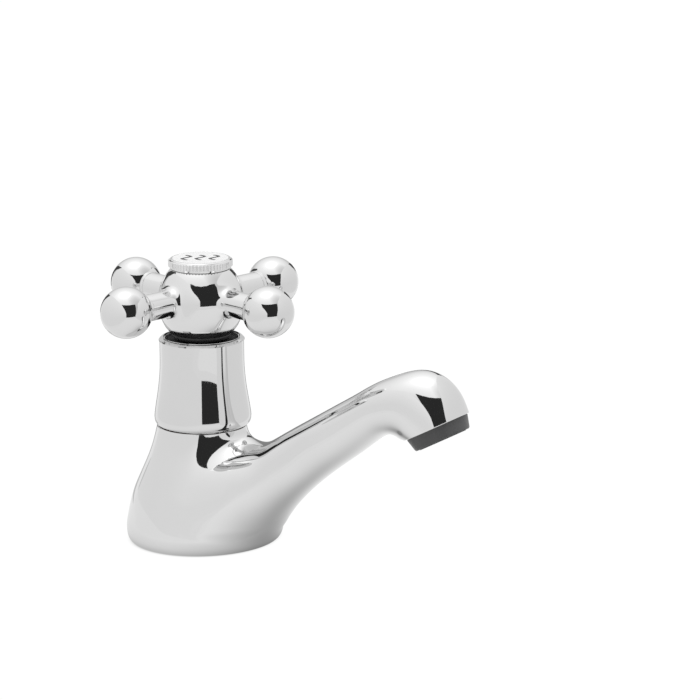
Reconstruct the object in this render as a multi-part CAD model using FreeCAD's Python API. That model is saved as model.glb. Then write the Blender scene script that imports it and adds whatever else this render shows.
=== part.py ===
import FreeCAD, Part
import math
import os

# Basin pillar tap with a four-ball cross handle. Millimetres, +Z up, +X along the spout.
# The origin is on the handle's axis, at the deck: the plane on which the base stands.

V = FreeCAD.Vector
os.makedirs("parts", exist_ok=True)

# ---------------------------------------------------------------- driving dimensions
# body: column radius by height, mean of the slightly oval section
COLUMN = [(0.0, 23.1), (0.3, 23.6), (0.8, 24.05), (1.6, 24.4), (2.8, 24.6), (4.6, 24.65),
          (7.5, 24.2), (11.3, 23.35), (15.1, 22.25), (19.0, 20.6), (22.8, 18.86), (26.6, 17.2),
          (30.4, 15.85), (34.2, 14.8), (36.3, 14.3)]
OVAL = 0.0315            # the base is narrower along the spout by this share
Z_NECK = 36.3            # top face of the column
# spout: top point x, z, underside point x, z, half width and squareness of each section
SPOUT = [(-1.0, 16.5, 8.0, 3.0, 9.0, 0.00), (6.0, 21.0, 15.5, 3.6, 10.0, 0.02),
         (14.0, 26.0, 21.4, 5.8, 10.4, 0.03), (19.0, 29.3, 26.6, 9.3, 10.4, 0.04),
         (24.05, 32.39, 31.8, 13.4, 10.2, 0.04), (28.49, 35.31, 36.94, 17.92, 9.9, 0.04),
         (34.54, 39.03, 43.39, 23.69, 9.5, 0.04), (42.39, 43.65, 50.69, 29.42, 9.2, 0.04),
         (50.40, 48.71, 57.65, 34.61, 9.0, 0.04), (57.06, 52.93, 62.26, 38.30, 9.1, 0.04),
         (63.49, 57.06, 65.73, 40.75, 9.4, 0.03), (70.98, 60.58, 68.36, 41.80, 9.9, 0.02),
         (79.01, 62.61, 70.38, 41.80, 10.25, 0.01), (85.95, 60.88, 71.90, 41.30, 10.5, 0.0),
         (90.70, 56.40, 73.05, 40.95, 10.6, 0.0), (93.35, 50.72, 74.65, 40.95, 10.55, 0.0)]
OUT_TILT = 27.6          # the water leaves at this angle outwards from straight down
OUT_C = V(84.0, 0, 45.835)   # centre of the spout's mouth
R_WATER = 4.5            # waterway in the spout
R_SOCKET = 8.7           # socket for the nozzle
SOCKET_DEPTH = 7.0

# tail and fixing
R_TAIL = 10.48           # half the 20.955 mm outside diameter of a 1/2 inch pipe thread
Z_TAIL = -50.0
R_INLET = 6.0
Z_TAIL_TOP = 13.0
R_TAIL_SPIGOT = 9.5
Z_GROOVE = (-35.6, -34.8)
R_GROOVE = 9.6

# headworks
R_COL_BORE = 10.4
Z_CHAMBER = 17.0
R_CHAMBER = 9.4
Z_SEAT = 20.0
R_SEAT_HOLE = 5.5
HEX_AF = 22.0
R_GUIDE = 7.5            # bore in which the plunger slides
R_STEM = 5.5
R_STEM_BORE = 5.55
R_THREAD = 4.0

# shroud, by height and outside radius
SHROUD = [(36.42, 13.9), (36.7, 14.2), (37.15, 14.64), (37.9, 14.98), (38.8, 15.08), (40.4, 14.95), (43.7, 14.45),
          (47.5, 13.85), (51.3, 13.4), (55.0, 13.15), (59.0, 13.1), (63.0, 13.1)]
Z_RIM = 64.0
R_MOUTH = 10.9

# handle
Z_ARM = 76.7
ARM_ANGLE = -14.86       # one arm from the spout's direction
R_ARM = 4.15
R_BALL = 8.0
BALL_AT = 30.5
HUB = [(66.8, 10.55), (67.3, 10.95), (68.3, 11.55), (70.2, 12.4), (73.0, 13.1), (76.5, 13.35),
       (80.0, 12.75), (83.0, 11.35), (85.2, 9.9), (86.0, 9.2)]
Z_CAP = (86.3, 89.1)
R_CAP = 10.0
KNURLS = 54
ARM_END = 22.9           # where the arm ends and the ball's collar begins


# ---------------------------------------------------------------- helpers
def solve_spline(ts, ys):
    """Second derivatives of the natural cubic spline through ys at ts."""
    n = len(ts)
    a = [0.0] * n
    b = [1.0] * n
    c = [0.0] * n
    d = [0.0] * n
    for i in range(1, n - 1):
        h0, h1 = ts[i] - ts[i - 1], ts[i + 1] - ts[i]
        a[i], b[i], c[i] = h0, 2 * (h0 + h1), h1
        d[i] = 6 * ((ys[i + 1] - ys[i]) / h1 - (ys[i] - ys[i - 1]) / h0)
    for i in range(1, n):
        w = a[i] / b[i - 1]
        b[i] -= w * c[i - 1]
        d[i] -= w * d[i - 1]
    m = [0.0] * n
    m[-1] = d[-1] / b[-1]
    for i in range(n - 2, -1, -1):
        m[i] = (d[i] - c[i] * m[i + 1]) / b[i]
    return m


class Spline:
    def __init__(self, ts, ys):
        self.t, self.y, self.m = ts, ys, solve_spline(ts, ys)

    def __call__(self, x):
        i = 0
        while i < len(self.t) - 2 and x > self.t[i + 1]:
            i += 1
        h = self.t[i + 1] - self.t[i]
        a = (self.t[i + 1] - x) / h
        b = 1 - a
        return (a * self.y[i] + b * self.y[i + 1]
                + ((a ** 3 - a) * self.m[i] + (b ** 3 - b) * self.m[i + 1]) * h * h / 6)


def cyl(r, z0, z1, x=0.0, y=0.0):
    return Part.makeCylinder(r, z1 - z0, V(x, y, z0), V(0, 0, 1))


def tube(r_in, r_out, z0, z1):
    return cyl(r_out, z0, z1).cut(cyl(r_in, z0 - 1, z1 + 1))


def hexagon(af, z0, z1):
    r = af / math.sqrt(3)
    pts = [V(r * math.cos(math.radians(60 * k + 30)), r * math.sin(math.radians(60 * k + 30)), z0)
           for k in range(7)]
    return Part.Face(Part.makePolygon(pts)).extrude(V(0, 0, z1 - z0))


def revolve(points, close=True):
    """Solid of revolution about Z from (r, z) points joined by straight edges."""
    pts = [V(r, 0, z) for r, z in points]
    if close:
        pts.append(pts[0])
    return Part.Face(Part.makePolygon(pts)).revolve(V(0, 0, 0), V(0, 0, 1), 360)


def revolve_curve(profile, inner):
    """Revolved solid whose outside is a smooth curve through (z, r) and whose inside is (r, z) points."""
    curve = Part.BSplineCurve()
    curve.interpolate([V(r, 0, z) for z, r in profile])
    first = V(profile[0][1], 0, profile[0][0])
    last = V(profile[-1][1], 0, profile[-1][0])
    pts = [last] + [V(r, 0, z) for r, z in inner] + [first]
    wire = Part.Wire([curve.toShape()] + [Part.makeLine(p, q) for p, q in zip(pts[:-1], pts[1:])])
    return Part.Face(wire).revolve(V(0, 0, 0), V(0, 0, 1), 360)


def torus(major, minor, z):
    return Part.makeTorus(major, minor, V(0, 0, z), V(0, 0, 1))


def closed_curve(points):
    c = Part.BSplineCurve()
    c.interpolate(Points=points, PeriodicFlag=True)
    return Part.Wire([c.toShape()])


def one_solid(shape):
    """The single solid of a boolean's result."""
    solids = shape.Solids
    solids.sort(key=lambda s: -s.Volume)
    return solids[0]


def export(shape, name):
    shape.exportStep("parts/" + name + ".step")
    print(name, "solids", len(shape.Solids), "volume", round(shape.Volume, 1), "valid", shape.isValid())


# ---------------------------------------------------------------- tap body
zs = [p[0] for p in COLUMN]
radius = Spline(zs, [p[1] for p in COLUMN])


def oval(z):
    return OVAL * max(0.0, 1 - z / Z_NECK) ** 1.5


def column_ring(z, n=32):
    r, e = radius(z), oval(z)
    return closed_curve([V(r * (1 - e) * math.cos(2 * math.pi * k / n),
                           r * (1 + e) * math.sin(2 * math.pi * k / n), z) for k in range(n)])


column_levels = [0.0, 0.4, 1.0, 1.9, 3.0, 4.6, 7.5, 11.3, 15.1, 19.0, 22.8, 26.6, 30.4, 33.5, Z_NECK]
column = Part.makeLoft([column_ring(z) for z in column_levels], True, False)


def spout_ring(row, n=48):
    tx, tz, bx, bz, w, q = row
    cx, cz = (tx + bx) / 2, (tz + bz) / 2
    dx, dz = (tx - bx) / 2, (tz - bz) / 2
    pts = []
    for k in range(n + 1):
        # the section starts and ends at the underside
        f = math.pi + 2 * math.pi * (k % n) / n
        rho = 1 + q * math.sin(2 * f) ** 2
        pts.append(V(cx + dx * rho * math.cos(f), w * rho * math.sin(f), cz + dz * rho * math.cos(f)))
    return pts


def tube_solid(grid):
    """Solid bounded by the surface through a grid of closed sections and by its two flat ends."""
    surface = Part.BSplineSurface()
    surface.interpolate(grid)
    skin = surface.toShape()
    ends = []
    for e in skin.Edges:
        p, q = e.Vertexes[0].Point, e.Vertexes[-1].Point
        if (p - q).Length < 1e-6 and not any((e.CenterOfMass - o.CenterOfMass).Length < 1e-6 for o in ends):
            ends.append(e)
    caps = [Part.Face(Part.Wire([e])) for e in ends]
    shell = Part.makeShell([skin] + caps)
    sewn = Part.Shape(shell)
    sewn.sewShape()
    solid = Part.Solid(sewn.Shells[0] if sewn.Shells else shell)
    if solid.Volume < 0:
        solid.reverse()
    return solid


stations = [0.0]
for r0, r1 in zip(SPOUT[:-1], SPOUT[1:]):
    stations.append(stations[-1] + math.hypot((r1[0] + r1[2] - r0[0] - r0[2]) / 2, (r1[1] + r1[3] - r0[1] - r0[3]) / 2))
columns = [Spline(stations, [r[k] for r in SPOUT]) for k in range(6)]
steps = 44
rows = [[c(stations[-1] * i / steps) for c in columns] for i in range(steps + 1)]
spout = tube_solid([spout_ring(r) for r in rows])
print("spout valid", spout.isValid(), "volume", round(spout.Volume, 1))
body = one_solid(column.fuse(spout))
# the casting's fillet where the spout leaves the column
blend = None
for fillet in (7.0, 6.0, 5.0, 4.0, 3.0, 2.0):
    edges = []
    for e in body.Edges:
        box = e.BoundBox
        if box.XMin > 8.0 and box.XMax < 34.0 and box.ZMax < 36.2 and box.ZMin > 0.05 and e.Length > 1.0:
            edges.append(e)
    try:
        trial = body.makeFillet(fillet, edges)
        if trial.isValid() and len(trial.Solids) == 1 and trial.Volume > body.Volume:
            blend = fillet
            body = trial.Solids[0]
            break
    except Exception as err:
        print("fillet", fillet, "not possible:", str(err)[:80])
print("fillet at the spout's root:", blend, "edges", len(edges))

OUT_D = V(math.sin(math.radians(OUT_TILT)), 0, -math.cos(math.radians(OUT_TILT)))   # the way the water leaves

# waterway: level out of the valve chamber, up inside the spout, round the bend to the mouth
way = [V(0, 0, 22.3), V(22.2, 0, 22.3), V(77.5, 0, 58.35), OUT_C + OUT_D * 1.0]
arcs = [20.0, 11.5]
edges = []
at = way[0]
for i in (1, 2):
    a = (way[i - 1] - way[i]).normalize()
    b = (way[i + 1] - way[i]).normalize()
    turn = math.pi - a.getAngle(b)
    t = arcs[i - 1] * math.tan(turn / 2)
    p, q = way[i] + a * t, way[i] + b * t
    mid_dir = (a + b).normalize()
    mid = way[i] + mid_dir * (arcs[i - 1] / math.cos(turn / 2) - arcs[i - 1])
    edges.append(Part.makeLine(at, p))
    edges.append(Part.Arc(p, mid, q).toShape())
    at = q
edges.append(Part.makeLine(at, way[3]))
path = Part.Wire(edges)
ring = Part.Wire([Part.makeCircle(R_WATER, way[0], V(1, 0, 0))])
waterway = path.makePipeShell([ring], True, False)

cuts = [
    waterway,
    Part.makeCylinder(R_SOCKET, SOCKET_DEPTH + 3, OUT_C - OUT_D * SOCKET_DEPTH, OUT_D),
    cyl(R_COL_BORE, 24.0, Z_NECK + 1),                # thread for the headworks
    tube(7.6, R_CHAMBER, Z_CHAMBER, 24.5),            # valve chamber round the raised seat
    cyl(R_CHAMBER, Z_SEAT, 24.5),
    cyl(R_SEAT_HOLE, 12.0, 24.0),                     # hole through the seat
    cyl(R_TAIL_SPIGOT, -1.0, Z_TAIL_TOP),             # socket for the tail
    tube(11.0, 17.5, -1.0, 2.5),                      # recess for the base seal
    cyl(11.0, -1.0, 1.2),
]
for c in cuts:
    body = body.cut(c)
# a small bevel round the seat's lip
body = body.cut(revolve([(R_SEAT_HOLE - 0.01, Z_SEAT - 0.5), (R_SEAT_HOLE + 0.5, Z_SEAT + 0.01), (R_SEAT_HOLE - 0.01, Z_SEAT + 0.01)]))
body = one_solid(body)
export(body, "tap_body")

# ---------------------------------------------------------------- tail, seal and fixing
tail = revolve([(R_INLET, Z_TAIL), (R_TAIL - 1.1, Z_TAIL), (R_TAIL, Z_TAIL + 1.1),
                (R_TAIL, Z_GROOVE[0]), (R_GROOVE, Z_GROOVE[0]), (R_GROOVE, Z_GROOVE[1]), (R_TAIL, Z_GROOVE[1]),
                (R_TAIL, 0.0), (R_TAIL, 1.15), (R_TAIL_SPIGOT - 0.03, 1.15), (R_TAIL_SPIGOT - 0.03, Z_TAIL_TOP), (R_INLET, Z_TAIL_TOP)])
export(tail, "tail_shank")
export(tube(11.4, 17.4, 0.0, 2.5), "base_seal")
hat = tube(10.65, 17.0, -20.0, -17.0).fuse(tube(10.65, 13.6, -17.0, -12.0)).removeSplitter()
export(one_solid(hat), "clamp_washer")
nut = hexagon(28.0, -27.3, -20.3)
nut = nut.fuse(tube(10.0, 15.2, -21.5, -20.3)).removeSplitter().cut(cyl(R_TAIL + 0.05, -28, -19))
nut = nut.common(revolve([(0, -27.3), (14.6, -27.3), (16.4, -26.0), (16.4, -20.3), (0, -20.3)]))
export(one_solid(nut), "backnut")

# ---------------------------------------------------------------- headworks
export(tube(R_COL_BORE, 13.3, Z_NECK, Z_NECK + 1.0), "bonnet_washer")
bonnet = cyl(R_COL_BORE, 24.0, Z_NECK + 1.0).fuse(cyl(12.6, Z_NECK + 1.0, Z_NECK + 2.2))
bonnet = bonnet.fuse(hexagon(HEX_AF, Z_NECK + 2.2, 44.0)).fuse(cyl(8.6, 44.0, 60.5)).removeSplitter()
bonnet = bonnet.cut(cyl(R_GUIDE, 23.0, 46.0)).cut(cyl(R_STEM_BORE, 45.0, 61.0))
# water windows in the skirt of the headworks, over the chamber
for k in range(4):
    w = Part.makeBox(16, 7, 4.5, V(0, -3.5, 23.0))
    w.rotate(V(0, 0, 0), V(0, 0, 1), 90 * k)
    bonnet = bonnet.cut(w)
# key slots that stop the plunger turning
for k in (45, 225):
    w = Part.makeBox(2.0, 3.0, 23.5, V(7.0, -1.5, 22.5))
    w.rotate(V(0, 0, 0), V(0, 0, 1), k)
    bonnet = bonnet.cut(w)
export(one_solid(bonnet), "bonnet")
export(tube(R_STEM + 0.06, 7.3, 45.2, 46.0), "thrust_washer")

# spindle: thread, collar, stem with two grooves, clip groove, splined top
spindle = cyl(R_THREAD, 32.4, 42.0).fuse(cyl(7.3, 42.0, 44.9)).fuse(cyl(R_STEM, 44.9, 66.0))
teeth = 20
pts = []
for k in range(4 * teeth + 1):
    r = 3.95 if (k % 4) in (0, 1) else 3.45
    f = 2 * math.pi * k / (4 * teeth)
    pts.append(V(r * math.cos(f), r * math.sin(f), 66.0))
spline = Part.Face(Part.makePolygon(pts)).extrude(V(0, 0, 8.4))
spindle = spindle.fuse(spline)
for z in (49.5, 54.5):
    spindle = spindle.cut(tube(4.2, 7.0, z - 0.8, z + 0.8))
spindle = spindle.cut(tube(4.6, 7.0, 60.8, 61.8)).cut(cyl(1.98, 61.0, 76.0))
export(one_solid(spindle), "spindle")
rings = Part.makeCompound([torus(4.85, 0.64, 49.5), torus(4.85, 0.64, 54.5)])
export(rings, "spindle_o_rings")
clip = tube(4.65, 7.4, 60.9, 61.7).cut(Part.makeBox(12, 3.0, 4, V(0, -1.5, 60)))
export(one_solid(clip), "spindle_circlip")

# plunger: slides in the guide bore, keyed by two lugs, driven by the spindle's thread
plunger = cyl(R_GUIDE - 0.06, 25.0, 36.0).cut(cyl(R_THREAD + 0.06, 27.0, 37.0))
for k in (45, 225):
    w = Part.makeBox(1.6, 2.5, 10.0, V(7.0, -1.25, 25.5))
    w.rotate(V(0, 0, 0), V(0, 0, 1), k)
    plunger = plunger.fuse(w)
plunger = plunger.cut(cyl(R_THREAD + 0.06, 27.0, 37.0)).removeSplitter()
plunger = plunger.fuse(tube(5.8, 7.2, 22.6, 25.0)).removeSplitter().cut(cyl(1.5, 20.0, 26.2))
export(one_solid(plunger), "valve_plunger")
washer = tube(1.9, 5.75, 21.8, 25.0).fuse(tube(1.9, 7.1, 20.3, 22.5)).removeSplitter()
export(one_solid(washer), "jumper_washer")
# its screw fits in the seat's hole: shank up into the plunger, head under the rubber
screw = cyl(1.48, 20.3, 26.1).fuse(revolve([(0, 18.6), (2.6, 18.6), (3.1, 19.1), (3.1, 20.3), (0, 20.3)]))
screw = screw.removeSplitter().cut(Part.makeBox(8, 0.8, 0.7, V(-4, -0.4, 18.5)))
export(one_solid(screw), "washer_screw")

# ---------------------------------------------------------------- shroud and its bush
shroud = revolve_curve(SHROUD, [(12.95, 63.55), (12.6, 63.9), (12.2, Z_RIM), (11.6, Z_RIM), (11.1, 63.8), (R_MOUTH, 63.4), (R_MOUTH, 56.0),
                                (12.0, 54.0), (12.4, 50.0), (12.9, 47.0), (13.5, 43.0), (13.9, 40.0), (13.7, 38.0),
                                (13.4, 36.42)])
export(one_solid(shroud), "shroud")
bush = tube(8.65, R_MOUTH - 0.02, 57.0, 62.0).fuse(tube(6.2, R_MOUTH - 0.02, 62.0, 63.4)).removeSplitter()
export(one_solid(bush), "shroud_bush")

# ---------------------------------------------------------------- handle
hub = revolve_curve(HUB, [(0.0, 86.0), (0.0, 65.7), (9.7, 65.7)])
arms = None
for k in range(4):
    f = math.radians(ARM_ANGLE + 90 * k)
    d = V(math.cos(f), math.sin(f), 0)
    a = Part.makeCylinder(R_ARM, ARM_END, V(0, 0, Z_ARM), d)
    hub = hub.fuse(a)
hub = one_solid(hub)
hub_blend = None
for fillet in (2.2, 1.6, 1.0):
    edges = [e for e in hub.Edges
             if e.Length > 8 and abs(e.CenterOfMass.z - Z_ARM) < 2.0 and e.BoundBox.ZLength > 5
             and 10 < math.hypot(e.CenterOfMass.x, e.CenterOfMass.y) < 15.5]
    try:
        trial = hub.makeFillet(fillet, edges)
        if trial.isValid() and trial.Volume > hub.Volume:
            hub, hub_blend = one_solid(trial), fillet
            break
    except Exception as err:
        print("hub fillet", fillet, "not possible:", str(err)[:80])
print("hub fillet:", hub_blend, "edges", len(edges))
for k in range(4):
    f = math.radians(ARM_ANGLE + 90 * k)
    d = V(math.cos(f), math.sin(f), 0)
    hub = hub.fuse(Part.makeCylinder(2.5, 28.6 - ARM_END + 0.05, V(0, 0, Z_ARM) + d * (ARM_END - 0.05), d))   # stud for the ball
hub = hub.cut(cyl(8.0, 65.0, 74.5)).cut(cyl(2.6, 74.0, 76.5)).cut(cyl(8.3, 75.9, 87.0))
export(one_solid(hub), "handle_hub")

balls = []
for k in range(4):
    f = math.radians(ARM_ANGLE + 90 * k)
    d = V(math.cos(f), math.sin(f), 0)
    c = V(0, 0, Z_ARM) + d * BALL_AT
    b = Part.makeSphere(R_BALL, c)
    b = b.cut(Part.makeCylinder(9.0, 6.0, V(0, 0, Z_ARM) + d * (ARM_END - 6.0), d))
    b = b.fuse(Part.makeCylinder(4.45, 2.0, V(0, 0, Z_ARM) + d * ARM_END, d)).removeSplitter()   # collar
    b = b.cut(Part.makeCylinder(2.5, 28.7 - ARM_END + 0.05, V(0, 0, Z_ARM) + d * (ARM_END - 0.05), d))
    balls.append(one_solid(b))
export(Part.makeCompound(balls), "handle_balls")

insert = cyl(7.98, 65.7, 74.5).fuse(cyl(9.3, 64.9, 65.7)).removeSplitter()
insert = insert.fuse(revolve([(0, 64.4), (8.8, 64.4), (9.3, 64.9), (0, 64.9)])).removeSplitter()
pts = []
for k in range(4 * teeth + 1):
    r = 4.0 if (k % 4) in (0, 1) else 3.5
    f = 2 * math.pi * k / (4 * teeth)
    pts.append(V(r * math.cos(f), r * math.sin(f), 66.0))
insert = insert.cut(Part.Face(Part.makePolygon(pts)).extrude(V(0, 0, 10.0))).cut(cyl(5.8, 64.0, 66.2))
export(one_solid(insert), "spline_insert")

export(tube(2.1, 5.2, 75.9, 76.7), "screw_washer")
screw = cyl(1.95, 62.5, 76.7).fuse(revolve([(0, 76.7), (4.0, 76.7), (4.0, 77.9), (3.3, 78.7), (2.0, 79.2), (0, 79.3)]))
screw = screw.removeSplitter().cut(Part.makeBox(10, 1.0, 1.2, V(-5, -0.5, 78.3)))
export(one_solid(screw), "handle_screw")

# index cap: coin-edged band low on the rim, plain bevelled top, hollow threaded skirt
cap = revolve([(0, Z_CAP[0]), (R_CAP - 0.25, Z_CAP[0]), (R_CAP - 0.25, 88.65), (R_CAP - 0.65, 88.95), (R_CAP - 1.1, Z_CAP[1]), (0, Z_CAP[1])])
cap = cap.fuse(cyl(8.25, 81.5, Z_CAP[0])).removeSplitter().cut(cyl(6.6, 81.0, 87.4))
pts = []
for k in range(2 * KNURLS + 1):
    r = R_CAP if k % 2 == 0 else R_CAP - 0.28
    f = 2 * math.pi * k / (2 * KNURLS)
    pts.append(V(r * math.cos(f), r * math.sin(f), Z_CAP[0] + 0.12))
band = Part.Face(Part.makePolygon(pts)).extrude(V(0, 0, 2.2)).cut(cyl(9.0, 86.0, 89.0))
cap = cap.fuse(band).removeSplitter()
export(one_solid(cap), "index_cap")

# ---------------------------------------------------------------- nozzle at the mouth
turn_y = 180 - OUT_TILT          # local +Z of the nozzle is the way the water leaves


def place(shape):
    s = shape.copy()
    s.rotate(V(0, 0, 0), V(0, 1, 0), turn_y)
    s.translate(OUT_C)
    return s


nozzle = revolve([(6.2, -6.5), (8.62, -6.5), (8.62, 0.0), (9.95, 0.0), (8.95, 3.8), (8.6, 4.2), (7.2, 4.2), (7.2, 0.2), (6.2, 0.2)])
nozzle = nozzle.cut(tube(7.3, 9.0, -4.4, -2.6))
export(one_solid(place(nozzle)), "outlet_nozzle")
ring = Part.makeTorus(7.98, 0.66, V(0, 0, -3.5), V(0, 0, 1))
export(place(ring), "nozzle_o_ring")
grid = tube(6.3, 7.15, 0.3, 3.4)
bars = None
for k in range(-2, 3):
    for turn in (0, 90):
        b = Part.makeBox(13.2, 0.5, 3.1, V(-6.6, -0.25 + 2.2 * k, 0.3))
        b.rotate(V(0, 0, 0), V(0, 0, 1), turn)
        bars = b if bars is None else bars.fuse(b)
bars = bars.common(cyl(6.6, 0.3, 3.4))
grid = grid.fuse(bars).removeSplitter()
export(one_solid(place(grid)), "flow_straightener")
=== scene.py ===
import math

import bpy
import bmesh
import numpy as np
from mathutils import Matrix, Vector
from mathutils.geometry import delaunay_2d_cdt


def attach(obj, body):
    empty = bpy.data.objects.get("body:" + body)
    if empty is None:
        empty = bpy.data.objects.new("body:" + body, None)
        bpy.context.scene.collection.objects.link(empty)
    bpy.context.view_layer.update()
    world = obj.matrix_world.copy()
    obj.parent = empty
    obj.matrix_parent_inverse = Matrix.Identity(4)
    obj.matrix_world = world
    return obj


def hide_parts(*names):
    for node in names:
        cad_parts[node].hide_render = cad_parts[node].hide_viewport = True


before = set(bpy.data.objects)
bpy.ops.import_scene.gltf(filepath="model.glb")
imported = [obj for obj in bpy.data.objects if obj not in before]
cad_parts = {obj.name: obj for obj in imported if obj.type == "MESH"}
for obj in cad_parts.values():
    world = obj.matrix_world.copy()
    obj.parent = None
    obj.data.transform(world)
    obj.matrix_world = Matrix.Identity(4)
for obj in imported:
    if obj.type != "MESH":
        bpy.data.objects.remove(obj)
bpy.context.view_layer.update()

MM = 0.001

# ------------------------------------------------------------------ dimensions (mm, row frame)
COLUMN = [(0.0, 23.1), (0.3, 23.6), (0.8, 24.05), (1.6, 24.4), (2.8, 24.6), (4.6, 24.65),
          (7.5, 24.2), (11.3, 23.35), (15.1, 22.25), (19.0, 20.6), (22.8, 18.86), (26.6, 17.2),
          (30.4, 15.85), (34.2, 14.8), (36.3, 14.3)]
OVAL = 0.0315
Z_NECK = 36.3
SPOUT = np.array([
    (-1.0, 16.5, 8.0, 3.0, 9.0, 0.00), (6.0, 21.0, 15.5, 3.6, 10.0, 0.02),
    (14.0, 26.0, 21.4, 5.8, 10.4, 0.03), (19.0, 29.3, 26.6, 9.3, 10.4, 0.04),
    (24.05, 32.39, 31.8, 13.4, 10.2, 0.04), (28.49, 35.31, 36.94, 17.92, 9.9, 0.04),
    (34.54, 39.03, 43.39, 23.69, 9.5, 0.04), (42.39, 43.65, 50.69, 29.42, 9.2, 0.04),
    (50.40, 48.71, 57.65, 34.61, 9.0, 0.04), (57.06, 52.93, 62.26, 38.30, 9.1, 0.04),
    (63.49, 57.06, 65.73, 40.75, 9.4, 0.03), (70.98, 60.58, 68.36, 41.80, 9.9, 0.02),
    (79.01, 62.61, 70.38, 41.80, 10.25, 0.01), (85.95, 60.88, 71.90, 41.30, 10.5, 0.0),
    (90.70, 56.40, 73.05, 40.95, 10.6, 0.0), (93.35, 50.72, 74.65, 40.95, 10.55, 0.0)])
OUT_TILT = math.radians(27.6)
OUT_C = np.array([84.0, 0.0, 45.835])
OUT_D = np.array([math.sin(OUT_TILT), 0.0, -math.cos(OUT_TILT)])
KT, KB, KS, KL = 21.8, 13.87, 9.53, 5.4      # blend widths at the spout's root: above, below, at the sides, at the foot
SHROUD = [(36.7, 14.2), (37.15, 14.64), (37.9, 14.98), (38.8, 15.08), (40.4, 14.95), (43.7, 14.45), (47.5, 13.85),
          (51.3, 13.4), (55.0, 13.15), (59.0, 13.1), (63.0, 13.1)]
HUB = [(66.8, 10.55), (67.3, 10.95), (68.3, 11.55), (70.2, 12.4), (73.0, 13.1), (76.5, 13.35),
       (80.0, 12.75), (83.0, 11.35), (85.2, 9.9), (86.0, 9.2)]
Z_ARM, R_ARM, R_BALL, BALL_AT, ARM_END = 76.7, 4.15, 7.985, 30.5, 22.9
ARM_ANGLE = math.radians(-14.86)


# ------------------------------------------------------------------ curves
class Spline:
    """Natural cubic spline with vector values."""

    def __init__(self, t, y):
        t, y = np.asarray(t, float), np.asarray(y, float)
        if y.ndim == 1:
            y = y[:, None]
        n, h = len(t), np.diff(t)
        a, r = np.zeros((n, n)), np.zeros_like(y)
        a[0, 0] = a[-1, -1] = 1
        for i in range(1, n - 1):
            a[i, i - 1], a[i, i], a[i, i + 1] = h[i - 1], 2 * (h[i - 1] + h[i]), h[i]
            r[i] = 6 * ((y[i + 1] - y[i]) / h[i] - (y[i] - y[i - 1]) / h[i - 1])
        self.t, self.y, self.m = t, y, np.linalg.solve(a, r)

    def __call__(self, x, d=0):
        x = np.atleast_1d(x)
        i = np.clip(np.searchsorted(self.t, x) - 1, 0, len(self.t) - 2)
        h = (self.t[i + 1] - self.t[i])[:, None]
        a = (self.t[i + 1] - x)[:, None] / h
        b = 1 - a
        y0, y1, m0, m1 = self.y[i], self.y[i + 1], self.m[i], self.m[i + 1]
        if d == 0:
            return a * y0 + b * y1 + ((a ** 3 - a) * m0 + (b ** 3 - b) * m1) * h * h / 6
        return (y1 - y0) / h + (-(3 * a * a - 1) * m0 + (3 * b * b - 1) * m1) * h / 6


def smooth_step(x, a, b):
    t = np.clip((x - a) / (b - a), 0, 1)
    return t * t * (3 - 2 * t)


def smooth_min(a, b, k):
    h = np.maximum(k - np.abs(a - b), 0) / k
    return np.minimum(a, b) - h * h * h * k / 6.0


# ------------------------------------------------------------------ the body's skin as a distance field
mid = (SPOUT[:, 0:2] + SPOUT[:, 2:4]) / 2
along = np.r_[0, np.cumsum(np.linalg.norm(np.diff(mid, axis=0), axis=1))]
SPOUT[:6, 4] = (10.0, 10.56, 11.02, 11.56, 11.15, 10.62)       # the root widens into the column
SPOUT[1:5, 1] += (1.11, 1.96, 1.17, 0.17)
SPOUT[1:5, 3] += (-0.56, -1.14, -1.88, -0.84)
SPOUT[3:11, 1] += (0.04, 0.26, 0.42, 0.60, 0.72, 0.50, 0.32, 0.12)
spout_curve = Spline(along, SPOUT)
column_curve = Spline([p[0] for p in COLUMN], [p[1] for p in COLUMN])


def section(u):
    v = spout_curve(u)
    top, low = v[:, 0:2], v[:, 2:4]
    d = top - low
    h = np.linalg.norm(d, axis=1) / 2
    return (top + low) / 2, d / (2 * h[:, None]), h, v[:, 4], v[:, 5]


GUESS = np.linspace(0, along[-1], 72)
guess_c = section(GUESS)[0]


def spout_distance(p):
    """Distance to the spout's tube: each point is measured in the section through it."""
    x = p[:, [0, 2]]
    u = np.empty(len(p))
    for s in range(0, len(p), 50000):
        q = x[s:s + 50000]
        r = (q[:, None, 0] - guess_c[None, :, 0]) ** 2 + (q[:, None, 1] - guess_c[None, :, 1]) ** 2
        u[s:s + 50000] = GUESS[np.argmin(r, axis=1)]
    e = 0.05
    for _ in range(5):
        c, n, h, w, q = section(u)
        f = (x[:, 0] - c[:, 0]) * n[:, 1] - (x[:, 1] - c[:, 1]) * n[:, 0]
        c2, n2 = section(np.minimum(u + e, along[-1] + e))[:2]
        f2 = (x[:, 0] - c2[:, 0]) * n2[:, 1] - (x[:, 1] - c2[:, 1]) * n2[:, 0]
        s = (f2 - f) / e
        s = np.where(s > -0.15, -1.0, s)
        u = np.clip(u - np.clip(f / s, -4, 4), 0, along[-1])
    c, n, h, w, q = section(u)
    b = ((x - c) * n).sum(1) / h
    a = p[:, 1] / w
    r = np.sqrt(a * a + b * b) + 1e-9
    s2 = 2 * a * b / (r * r)
    return (r - (1 + q * s2 * s2)) * np.sqrt((w * a / r) ** 2 + (h * b / r) ** 2), b


def column_distance(p):
    z = p[:, 2]
    zc = np.clip(z, 0, Z_NECK)
    r = column_curve(zc)[:, 0]
    ov = OVAL * np.maximum(0, 1 - zc / Z_NECK) ** 1.5
    rho = np.hypot(p[:, 0] / (1 - ov), p[:, 1] / (1 + ov))
    sl = column_curve(zc, 1)[:, 0]
    return (rho - r) / np.sqrt(1 + np.minimum(sl * sl, 4))


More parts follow.
